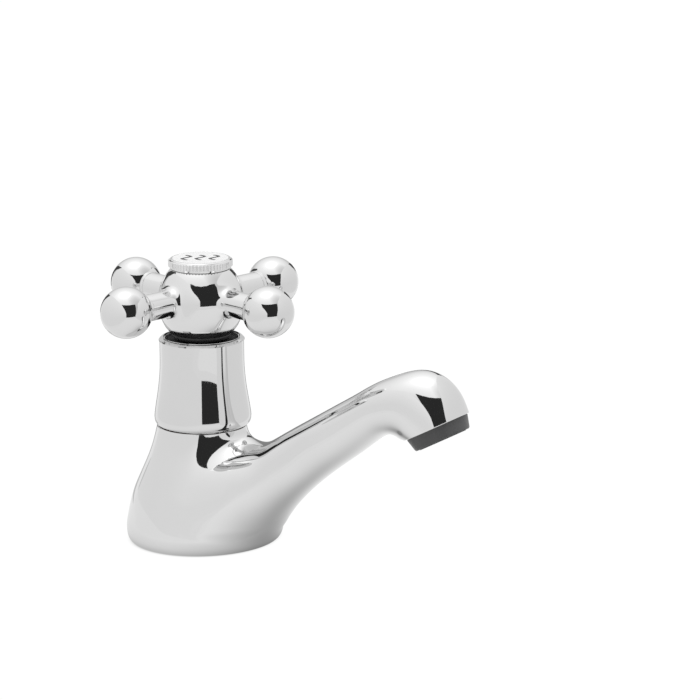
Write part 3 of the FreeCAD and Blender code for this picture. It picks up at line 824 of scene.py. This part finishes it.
# ------------------------------------------------------------------ handle hub
h_hub = 0.55
p, q = mesh_field(hub_field, (-25.5, -25.5, 65.2), (25.5, 25.5, 87.4), h_hub, 6)
hub_top = np.array([0, 0, 86.0 - 0.22])
hub_low = np.array([0, 0, 66.8])
planes = [(hub_top, z_ax), (hub_low, -z_ax)]
for d in arm_dirs:
    planes.append((np.array([0, 0, Z_ARM]) + d * (ARM_END - 0.2), d))
pts, faces, loops = clip(p, q, planes)
hb = Shell()
ends = {}
for lp in sorted(loops, key=len)[-6:]:
    c = pts[lp].mean(0)
    if c[2] > 84:
        ends["top"] = lp
    elif c[2] < 68:
        ends["low"] = lp
    else:
        ends[int(np.argmax([c @ d for d in arm_dirs]))] = lp
snap_to_plane(hub_field, pts, ends["top"], hub_top, z_ax)
snap_to_plane(hub_field, pts, ends["low"], hub_low, z_ax)
for k, d in enumerate(arm_dirs):
    snap_to_plane(hub_field, pts, ends[k], planes[2 + k][0], d)
nrm = unit(gradient(hub_field, pts))
flat = [i for f in faces for i in f]
hb.add(pts, faces, nrm[flat])
lp, a = ordered_loop(pts, ends["top"], hub_top, x_ax, y_ax)
rows = rim_rows(pts[lp], nrm[lp], z_ax, 0.45)
ring_strip(hb, rows)
plug_hole(hb, a, np.array([0, 0, rows[-1][0][:, 2].mean()]), x_ax, y_ax, rows[-1][0], [(8.32, 0.0), (8.32, 75.9 - 86.0), (2.6, 75.9 - 86.0), (2.6, -11.0)], z_ax)
# the turned-in band under the hub, its flat underside and the socket of the insert
lp, a = ordered_loop(pts, ends["low"], hub_low, x_ax, -y_ax)
band = np.array([-(65.7 - 66.8), 0])
rb = 9.72
slope = unit(np.array([1.1, 0.85]))        # normal leans down and out
low = pts[lp]
rad = unit(low * np.array([1, 1, 0]))
mband = rad * (66.8 - 65.72) - z_ax * (10.55 - rb)
mband = unit(mband)
p1 = rad * 10.5 + z_ax * 66.74
p2 = rad * (rb + 0.05) + z_ax * 65.78
p3 = rad * (rb - 0.1) + z_ax * 65.70
ring_strip(hb, [(low, unit(nrm[lp] * 0.5 + mband * 0.5)), (p1, mband)])
ring_strip(hb, [(p1, mband), (p2, mband)])
ring_strip(hb, [(p2, mband), (p3, unit(mband * 0.3 - z_ax))])
plug_hole(hb, a, np.array([0, 0, 65.7]), x_ax, -y_ax, p3, [(8.0, 0.0), (8.0, -8.8)], -z_ax)
for k, d in enumerate(arm_dirs):
    yy = unit(np.cross(d, z_ax))
    lp, a = ordered_loop(pts, ends[k], planes[2 + k][0], z_ax, unit(np.cross(d, z_ax)))
    rows = rim_rows(pts[lp], nrm[lp], d, 0.2, 3)
    ring_strip(hb, rows)
    disc(hb, rows[-1][0], np.array([0, 0, Z_ARM]) + d * ARM_END, d)
hb.build("handle_hub_cross", handle_chrome, "handle", ["handle_hub"])

# ------------------------------------------------------------------ ball ends with their collars
bl = Shell()
s0 = -(BALL_AT - ARM_END)                 # collar's end face, from the ball's centre
rc = 4.45
th0 = math.pi - math.asin(rc / R_BALL)    # where the ball leaves the collar
ball = []
collar = corner_profile([(0.0, s0), (rc, s0, 0.18), (rc, -math.sqrt(R_BALL ** 2 - rc ** 2) - 0.02)])
th = np.linspace(th0, 0.0, 96)
ball = np.column_stack([R_BALL * np.sin(th), R_BALL * np.cos(th), np.sin(th), np.cos(th)])
collar[-1][-1, 1] = ball[0, 1]
for d in arm_dirs:
    lathe(bl, collar + [ball], 128, axes_matrix(np.array([0, 0, Z_ARM]) + d * BALL_AT, d))
bl.build("ball_ends", handle_chrome, "handle", ["handle_balls"])

# ------------------------------------------------------------------ index cap: coin edge and an engraved heat sign
cam_e, cam_roll, cam_az = math.radians(13.47), math.radians(-0.42), math.radians(-31.0)
EX = np.array([math.cos(cam_az), math.sin(cam_az), 0.0])
EY = np.array([-math.sin(cam_az), math.cos(cam_az), 0.0])
cp = Shell()
R_CAP, KNURLS = 10.0, 54
n_cap = KNURLS * 12
ang = 2 * np.pi * np.arange(n_cap) / n_cap


def coin(z, depth):
    """One ring of the coin edge: rounded ribs with sharp valleys."""
    r = R_CAP - depth * (1 - np.abs(np.cos(KNURLS / 2 * ang)))
    dr = np.gradient(np.r_[r[-1], r, r[0]], ang[1])[1:-1]
    m = np.stack([r * np.cos(ang) + dr * np.sin(ang), r * np.sin(ang) - dr * np.cos(ang), 0 * r], 1)
    return np.stack([r * np.cos(ang), r * np.sin(ang), 0 * r + z], 1), unit(m)


def circ(r, z, nr, nz):
    return (np.stack([r * np.cos(ang), r * np.sin(ang), 0 * ang + z], 1),
            np.stack([nr * np.cos(ang), nr * np.sin(ang), 0 * ang + nz], 1))


lo_ring, hi_ring = coin(86.7, 0.42), coin(88.5, 0.42)
ring_strip(cp, [lo_ring, hi_ring])
s2 = math.sqrt(0.5)
ring_strip(cp, [(hi_ring[0], circ(1, 0, 0, 1)[1]), circ(9.66, 88.62, s2, s2)])
ring_strip(cp, [circ(9.66, 88.62, 0.9, 0.436), circ(9.5, 88.86, 0.78, 0.62), circ(9.2, 89.02, 0.4, 0.92), circ(8.8, 89.1, 0.0, 1.0)])
ring_strip(cp, [(lo_ring[0], circ(1, 0, 0, -1)[1]), circ(9.3, 86.6, 0, -1.0)])
ring_strip(cp, [circ(9.3, 86.6, 1, 0), circ(9.3, 86.1, 1, 0)])
ring_strip(cp, [circ(9.3, 86.1, 0, -1.0), circ(8.25, 86.1, 0, -1.0)])
ring_strip(cp, [circ(8.25, 86.1, 1, 0), circ(8.25, 81.5, 1, 0)])
ring_strip(cp, [circ(8.25, 81.5, 0, -1), circ(6.6, 81.5, 0, -1)])
ring_strip(cp, [circ(6.6, 81.5, -1, 0), circ(6.6, 87.4, -1, 0)])
disc(cp, circ(6.6, 87.4, 0, -1)[0], np.array([0, 0, 87.4]), -z_ax)


def stroke(points, half):
    """Outline of a pen stroke of this half width with round ends."""
    pts_ = np.array(points)
    d = unit(np.gradient(pts_, axis=0))
    nn = np.stack([-d[:, 1], d[:, 0]], 1)
    ends = []
    for q_, d_ in ((pts_[-1], d[-1]), (pts_[0], -d[0])):
        a0 = math.atan2(d_[1], d_[0])
        ends.append([q_ + half * np.array([math.cos(a0 + t_), math.sin(a0 + t_)]) for t_ in np.linspace(-math.pi / 2, math.pi / 2, 9)[1:-1]])
    return np.vstack([pts_ - half * nn, ends[0], (pts_ + half * nn)[::-1], ends[1]])


t_ = np.linspace(-1, 1, 33)
# three rising waves side by side, upright for whoever stands before the tap
waves = [stroke(np.stack([4.3 * k_ + 1.25 * np.sin(t_ * math.pi), 3.3 * t_ + 0.2], 1), 0.55) for k_ in (-1, 0, 1)]
across, away = np.array([EX[0], EY[0]]), np.array([EX[1], EY[1]])
waves = [w_[:, :1] * across[None] + w_[:, 1:] * away[None] for w_ in waves]
rim_2d = 8.8 * np.stack([np.cos(ang), np.sin(ang)], 1)
flat_v, flat_e, at_i = [], [], 0
for loop in [rim_2d] + waves:
    k_ = len(loop)
    flat_v += [Vector(x) for x in loop.tolist()]
    flat_e += [(at_i + i, at_i + (i + 1) % k_) for i in range(k_)]
    at_i += k_
tri_v, _, tri_f, *_rest = delaunay_2d_cdt(flat_v, flat_e, [], 0, 1e-6)
tri_v = np.array([x[:] for x in tri_v])


def inside(pts_, loop):
    """Which points lie inside a closed outline."""
    res = np.zeros(len(pts_), bool)
    for a_, b_ in zip(loop, np.roll(loop, -1, axis=0)):
        c_ = ((a_[1] > pts_[:, 1]) != (b_[1] > pts_[:, 1]))
        xx = (b_[0] - a_[0]) * (pts_[:, 1] - a_[1]) / np.where(b_[1] - a_[1] == 0, 1e-12, b_[1] - a_[1]) + a_[0]
        res ^= c_ & (pts_[:, 0] < xx)
    return res


tri_f = np.array([list(x) for x in tri_f])
mid_ = tri_v[tri_f].mean(1)
cut = inside(mid_, waves[0]) | inside(mid_, waves[1]) | inside(mid_, waves[2])
DEPTH = 0.08
for sel, level in ((~cut, 89.1), (cut, 89.1 - DEPTH)):
    f = tri_f[sel]
    v = np.column_stack([tri_v, np.full(len(tri_v), level)])
    g = np.cross(v[f[:, 1]] - v[f[:, 0]], v[f[:, 2]] - v[f[:, 0]])
    f = np.where(g[:, 2:3] < 0, f[:, ::-1], f)
    used = np.unique(f)
    remap = -np.ones(len(v), int)
    remap[used] = np.arange(len(used))
    cp.add(v[used], remap[f], np.repeat([[0, 0, 1.0]], f.size, 0))
for loop in waves:
    area = 0.5 * np.sum(loop[:, 0] * np.roll(loop[:, 1], -1) - np.roll(loop[:, 0], -1) * loop[:, 1])
    d = unit(np.roll(loop, -1, axis=0) - np.roll(loop, 1, axis=0)) * (1 if area > 0 else -1)
    inward = np.stack([-d[:, 1], d[:, 0], np.full(len(d), 0.25)], 1)
    up_, dn_ = np.column_stack([loop, np.full(len(loop), 89.1)]), np.column_stack([loop, np.full(len(loop), 89.1 - DEPTH)])
    ring_strip(cp, [(up_, unit(inward)), (dn_, unit(inward))])
cp.build("index_cap_disc", cap_chrome, "handle", ["index_cap"])

# ------------------------------------------------------------------ spline insert: the black skirt under the hub
si = Shell()
lathe(si, corner_profile([(5.8, 64.4, 0.1), (9.3, 64.4, 0.45), (9.3, 65.7, 0.1), (7.98, 65.7), (7.98, 74.5, 0.2), (4.05, 74.5), (4.05, 66.2), (5.8, 66.2)], closed=True), 128)
si.build("spline_insert_skirt", skirt_plastic, "handle", ["spline_insert"])

# ------------------------------------------------------------------ nozzle at the mouth
nz = Shell()
lathe(nz, corner_profile([(6.2, -6.5), (8.62, -6.5, 0.3), (8.62, 0.0), (9.95, 0.0, 0.12), (8.95, 3.8, 0.15), (8.6, 4.2, 0.15), (7.2, 4.2, 0.2), (7.2, 0.2), (6.2, 0.2, 0.1)], closed=True),
      160, axes_matrix(OUT_C, OUT_D))
nz.build("outlet_nozzle_ring", nozzle_plastic, "tap", ["outlet_nozzle"])

# ------------------------------------------------------------------ tail with its real pipe thread
tl = Shell()
n_t = 72
PITCH, R_MAJ, R_MIN = 1.814, 10.48, 9.35
levels = np.arange(-50.0, 1.151, PITCH / 10)
levels = np.r_[levels, 1.15]
at = 2 * np.pi * np.arange(n_t) / n_t


def thread_radius(z, a):
    ph = (z / PITCH - a / (2 * math.pi)) % 1.0
    saw = np.abs(ph - 0.5) * 2
    r = R_MIN + (R_MAJ - R_MIN) * np.clip((saw - 0.12) / 0.76, 0, 1)
    fade = smooth_step(z, -4.5, -2.0)
    r = r * (1 - fade) + R_MAJ * fade
    return np.minimum(r, R_MAJ - np.clip(-48.9 - z, 0, 2) * 1.0)


zz, aa = np.meshgrid(levels, at, indexing="ij")
rr_ = thread_radius(zz, aa)
rr_ = np.where((zz > -35.6) & (zz < -34.8), 9.3, rr_)
dz = (thread_radius(zz + 0.02, aa) - thread_radius(zz - 0.02, aa)) / 0.04
dz = np.where((zz > -35.6) & (zz < -34.8), 0, dz)
TP = np.stack([rr_ * np.cos(aa), rr_ * np.sin(aa), zz], -1)
TM = unit(np.stack([np.cos(aa), np.sin(aa), -dz], -1))
ring_strip(tl, [(TP[i], TM[i]) for i in range(len(levels))])


def tring(r, z, nr, nz_):
    return (np.stack([r * np.cos(at), r * np.sin(at), 0 * at + z], 1), np.stack([nr * np.cos(at), nr * np.sin(at), 0 * at + nz_], 1))


ring_strip(tl, [(TP[0], tring(1, 0, 0, -1)[1]), tring(6.0, -50.0, 0, -1)])
ring_strip(tl, [tring(6.0, -50.0, -1, 0), tring(6.0, 13.0, -1, 0)])
ring_strip(tl, [tring(6.0, 13.0, 0, 1), tring(9.47, 13.0, 0, 1)])
ring_strip(tl, [tring(9.47, 13.0, 1, 0), tring(9.47, 1.15, 1, 0)])
ring_strip(tl, [tring(9.47, 1.15, 0, 1), (TP[-1], tring(1, 0, 0, 1)[1])])
tl.build("tail_shank_threaded", brass, "tap", ["tail_shank"])

# ------------------------------------------------------------------ CAD nodes that stay, with their materials
node_mats = {
    "bonnet": brass, "bonnet_washer": fibre, "spindle": brass, "spindle_o_rings": rubber,
    "spindle_circlip": steel, "thrust_washer": nylon, "valve_plunger": brass, "jumper_washer": rubber,
    "washer_screw": brass, "handle_screw": steel, "screw_washer": steel, "nozzle_o_ring": rubber,
    "flow_straightener": insert_plastic, "base_seal": rubber, "clamp_washer": nylon, "backnut": brass}
for n, mat in node_mats.items():
    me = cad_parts[n].data
    me.materials.clear()
    me.materials.append(mat)

# ------------------------------------------------------------------ stage: pale floor and a small light box seen only in reflections
right = np.array([0.8354, 0.5495, 0.0])      # to the camera's right
toward = np.array([0.5495, -0.8354, 0.0])    # towards the camera, level


def emitter(name, strength, colour=(1, 1, 1)):
    m = bpy.data.materials.new(name)
    m.use_nodes = True
    nt = m.node_tree
    nt.nodes.clear()
    out = nt.nodes.new("ShaderNodeOutputMaterial")
    e = nt.nodes.new("ShaderNodeEmission")
    e.inputs[0].default_value = (*colour, 1)
    e.inputs[1].default_value = strength
    nt.links.new(e.outputs[0], out.inputs[0])
    return m


def stage_mesh(name, verts, faces, mat, camera=False, glossy=True, diffuse=True, shadow=False):
    me = bpy.data.meshes.new(name)
    me.from_pydata([tuple(np.asarray(v) * MM) for v in verts], [], faces)
    me.update()
    me.materials.append(mat)
    ob = bpy.data.objects.new(name, me)
    bpy.context.scene.collection.objects.link(ob)
    ob.visible_camera = camera
    ob.visible_glossy = glossy
    ob.visible_diffuse = diffuse
    ob.visible_shadow = shadow
    return ob


def at_(x, t, z):
    return right * x + toward * t + z_ax * z


S = 3000.0


def maths(nt, op, a, b=None, c=None):
    """One math node; inputs may be sockets or numbers."""
    n = nt.nodes.new("ShaderNodeMath")
    n.operation = op
    for i, x in enumerate((a, b, c)):
        if x is None:
            continue
        if isinstance(x, (int, float)):
            n.inputs[i].default_value = x
        else:
            nt.links.new(x, n.inputs[i])
    return n.outputs[0]


def position(nt):
    """World position in mm, as three sockets."""
    g = nt.nodes.new("ShaderNodeNewGeometry")
    sx = nt.nodes.new("ShaderNodeSeparateXYZ")
    nt.links.new(g.outputs["Position"], sx.inputs[0])
    return [maths(nt, "MULTIPLY", sx.outputs[i], 1000.0) for i in range(3)]


def bell(nt, x, centre, width):
    d = maths(nt, "DIVIDE", maths(nt, "SUBTRACT", x, centre), width)
    return maths(nt, "MULTIPLY", d, d)


# floor seen by the camera: an even white glow, with a painted contact shadow that darkens a thin ring round the tap's
# foot
white_floor = emitter("floor_white", 1.0)
nt = white_floor.node_tree
X_, Y_, _ = position(nt)
rho = maths(nt, "SQRT", maths(nt, "ADD", bell(nt, X_, 0.0, 1 - OVAL), bell(nt, Y_, 0.0, 1 + OVAL)))
painted_contact_shadow = maths(nt, "EXPONENT", maths(nt, "DIVIDE", maths(nt, "SUBTRACT", 23.15, rho), 0.55))
painted_contact_shadow = maths(nt, "MULTIPLY", maths(nt, "MINIMUM", painted_contact_shadow, 1.0), 0.5)
nt.links.new(maths(nt, "MULTIPLY", maths(nt, "SUBTRACT", 1.0, painted_contact_shadow), 1.02), nt.nodes["Emission"].inputs[1])
stage_mesh("floor", [(-S, -S, -0.05), (S, -S, -0.05), (S, S, -0.05), (-S, S, -0.05)], [(0, 1, 2, 3)], white_floor, camera=True, glossy=False, diffuse=False)
# floor seen only in reflections: a glow with painted shade, namely a soft painted shadow under the spout and painted
# darkening round the foot
bounce = emitter("floor_bounce", 1.0)
nt = bounce.node_tree
X_, Y_, Z_ = position(nt)
q_ = maths(nt, "ADD", maths(nt, "ADD", bell(nt, X_, 27.6, 36.0), bell(nt, Y_, -1.8, 24.0)), 1.0)
painted_spout_shadow = maths(nt, "MULTIPLY", maths(nt, "POWER", q_, -1.5), 0.53)
rho = maths(nt, "SQRT", maths(nt, "ADD", maths(nt, "MULTIPLY", X_, X_), maths(nt, "MULTIPLY", Y_, Y_)))
painted_foot_shade = maths(nt, "MULTIPLY", maths(nt, "EXPONENT", maths(nt, "DIVIDE", maths(nt, "SUBTRACT", 24.0, rho), 2.5)), 0.3)
painted_foot_shade = maths(nt, "MINIMUM", painted_foot_shade, 0.4)
val = maths(nt, "MULTIPLY", maths(nt, "SUBTRACT", 1.0, painted_spout_shadow), maths(nt, "SUBTRACT", 1.0, painted_foot_shade))
val = maths(nt, "MULTIPLY", val, 0.95)
nt.links.new(val, nt.nodes["Emission"].inputs[1])
stage_mesh("floor_bounce", [(-S, -S, 0.0), (S, -S, 0.0), (S, S, 0.0), (-S, S, 0.0)], [(0, 1, 2, 3)], bounce, camera=False, glossy=True, diffuse=True)


def shaded_wall(name, lo, hi, z_lo, z_hi):
    """A wall that glows a little stronger with height."""
    m = emitter(name, lo)
    nt = m.node_tree
    z = position(nt)[2]
    nt.links.new(ramp(nt, z, z_lo, z_hi, lo, hi), nt.nodes["Emission"].inputs[1])
    return m


# side walls of the light box
wall_left = shaded_wall("wall_left", 0.885, 1.03, 60.0, 165.0)
L = [(-124, -128, 17, 95), (-112, -70, 17, 160), (-95, 0, 17, 165), (-80, 60, 17, 168), (-64, 100, 17, 172), (-43, 242, 13, 165), (-22, 430, 6, 130), (-22, 480, 4, 110)]
v = [at_(x, t, z) for x, t, z, _ in L] + [at_(x, t, z) for x, t, _, z in L]
stage_mesh("wall_left", v, [(i, i + 1, len(L) + i + 1, len(L) + i) for i in range(len(L) - 1)], wall_left)
v = [at_(x, t, -1) for x, t, _, _ in L] + [at_(x, t, z) for x, t, z, _ in L]
stage_mesh("wall_left_foot", v, [(i, i + 1, len(L) + i + 1, len(L) + i) for i in range(len(L) - 1)], emitter("wall_foot", 0.93))
wall_right = shaded_wall("wall_right", 0.85, 0.98, 70.0, 190.0)
Rr = [(375, 480, 0, 60), (165, 200, 0, 100), (137, 133, 0, 152), (128, 80, 0, 206), (125, 0, 0, 206), (135, -100, 0, 195), (150, -200, 0, 190)]
v = [at_(x, t, z) for x, t, z, _ in Rr] + [at_(x, t, z) for x, t, _, z in Rr]
stage_mesh("wall_right", v, [(i, i + 1, len(Rr) + i + 1, len(Rr) + i) for i in range(len(Rr) - 1)], wall_right)
lip = [(-64, 100, 17, 28), (-55, 145, 16, 28), (-43, 200, 13, 28), (-20, 240, 9, 28), (-7, 250, 7, 28), (200, 250, 7, 28)]
v = [at_(x, t, z) for x, t, z, _ in lip] + [at_(x, t, z) for x, t, _, z in lip]
stage_mesh("front_lip", v, [(i, i + 1, len(lip) + i + 1, len(lip) + i) for i in range(len(lip) - 1)], emitter("front_lip", 0.9))
dark = emitter("card_dark", 0.028)
card = [(-22, 480, 2), (375, 480, 2)]
for az, el in ((52, 41), (40, 43), (20, 43.5), (0, 43.5), (-20, 43.5), (-40, 43.5)):
    x = 5 + 470 * math.tan(math.radians(az))
    card.append((x, 480, 83 + 470 / math.cos(math.radians(az)) * math.tan(math.radians(el))))
v = [at_(*c) for c in card]
stage_mesh("card_front", v, [tuple(range(len(v)))], dark)
# the dark edges of the box's open back: two slanting strips
for nm, rows_ in (("gap_left", ((-122, 34, 8), (-129, 27, 11), (-142, 16, 11), (-150, 6, 13), (-155, -4, 14), (-160, -12, 14))),
                  ("gap_right", ((127, 34, 8), (134, 27, 11), (143, 17, 11), (152, 8, 11), (159, 0, 9), (168, -9, 7)))):
    v, sg = [], (1 if nm == "gap_right" else -1)
    for az, el, wide in rows_:
        for d in (-wide / 2, wide / 2):
            ar = math.radians(az + sg * d)
            v.append(at_(260 * math.sin(ar), 11 + 260 * math.cos(ar), 77 + 260 * math.tan(math.radians(el))))
    stage_mesh(nm, v, [(2 * i, 2 * i + 1, 2 * i + 3, 2 * i + 2) for i in range(len(rows_) - 1)], emitter(nm, 0.06))

# the dim backdrop straight behind, which thin edges mirror
v = [at_(x, -150, z) for x, z in ((-52, 0), (52, 0), (52, 62), (-52, 62))]
stage_mesh("backdrop", v, [(0, 1, 2, 3)], emitter("backdrop", 0.26))
v = [at_(x, t, 0.4) for x, t in ((-110, -420), (110, -420), (75, -72), (-75, -72))]
stage_mesh("backdrop_floor", v, [(0, 1, 2, 3)], emitter("backdrop_floor", 0.6))

# world: a soft white ceiling, paler sides, and the grey opening at the back
w = bpy.data.worlds.new("light_box")
bpy.context.scene.world = w
w.use_nodes = True
nt = w.node_tree
nt.nodes.clear()
out = nt.nodes.new("ShaderNodeOutputWorld")
bg = nt.nodes.new("ShaderNodeBackground")
nt.links.new(bg.outputs[0], out.inputs[0])
tc = nt.nodes.new("ShaderNodeTexCoord")


def facing(az, el):
    """Angle in degrees between the direction looked along and a fixed one."""
    n = nt.nodes.new("ShaderNodeVectorMath")
    n.operation = "DOT_PRODUCT"
    nt.links.new(tc.outputs["Generated"], n.inputs[0])
    a_, e_ = math.radians(az), math.radians(el)
    n.inputs[1].default_value = tuple((right * math.sin(a_) + toward * math.cos(a_)) * math.cos(e_) + z_ax * math.sin(e_))
    return maths(nt, "MULTIPLY", maths(nt, "ARCCOSINE", maths(nt, "MINIMUM", n.outputs["Value"], 0.99999)), 180 / math.pi)


up_angle = facing(-145, 82)
rmp = nt.nodes.new("ShaderNodeValToRGB")
nt.links.new(maths(nt, "DIVIDE", up_angle, 180.0), rmp.inputs[0])
stops = [(0, 1.95), (10, 1.9), (17, 1.5), (23, 1.32), (28, 1.26), (35, 1.17), (45, 1.09), (56, 0.97), (64, 0.85), (71, 0.66), (90, 0.62), (180, 0.62)]
e_ = rmp.color_ramp.elements
while len(e_) < len(stops):
    e_.new(0.5)
for el_, (deg, val_) in zip(e_, stops):
    el_.position = deg / 180
    el_.color = (val_ / 2.3,) * 3 + (1,)
side = maths(nt, "MAXIMUM", maths(nt, "SUBTRACT", 1.0, bell(nt, facing(72, 52), 0.0, 32.0)), 0.0)
base = maths(nt, "MULTIPLY", rmp.outputs[0], 2.3)
nt.links.new(maths(nt, "SUBTRACT", base, maths(nt, "MULTIPLY", side, 0.3)), bg.inputs["Strength"])
bg.inputs[0].default_value = (1, 1, 1, 1)

# soft light from above for the pieces that are not mirrors
sun = bpy.data.lights.new("overhead", "AREA")
sun.shape = "DISK"
sun.size = 0.5
sun.energy = 6.0
so = bpy.data.objects.new("overhead", sun)
so.location = tuple((toward * 60 + z_ax * 600) * MM)
bpy.context.scene.collection.objects.link(so)
so.visible_glossy = False
so.visible_camera = False

# ------------------------------------------------------------------ camera
cam = bpy.data.cameras.new("camera")
cam.lens = 192.65
cam.sensor_width = 36.0
cam.sensor_fit = "HORIZONTAL"
cam.shift_x, cam.shift_y = -0.5 / 700, 0.5 / 700
cam.clip_start, cam.clip_end = 0.05, 20.0
co = bpy.data.objects.new("camera", cam)
bpy.context.scene.collection.objects.link(co)
r_, u_, f_ = np.array([1.0, 0, 0]), np.array([0, math.sin(cam_e), math.cos(cam_e)]), np.array([0, math.cos(cam_e), -math.sin(cam_e)])
c_, s_ = math.cos(cam_roll), math.sin(cam_roll)
B = np.array([EX, EY, z_ax])
cr, cu, cf = B @ (c_ * r_ + s_ * u_), B @ (-s_ * r_ + c_ * u_), B @ f_
mat = Matrix.Identity(4)
for i in range(3):
    mat[i][0], mat[i][1], mat[i][2] = cr[i], cu[i], -cf[i]
mat[0][3], mat[1][3], mat[2][3] = 0.62238, -0.94620, 0.33030
co.matrix_world = mat
bpy.context.scene.camera = co
bpy.context.scene.view_settings.view_transform = "Standard"
bpy.context.scene.view_settings.look = "None"
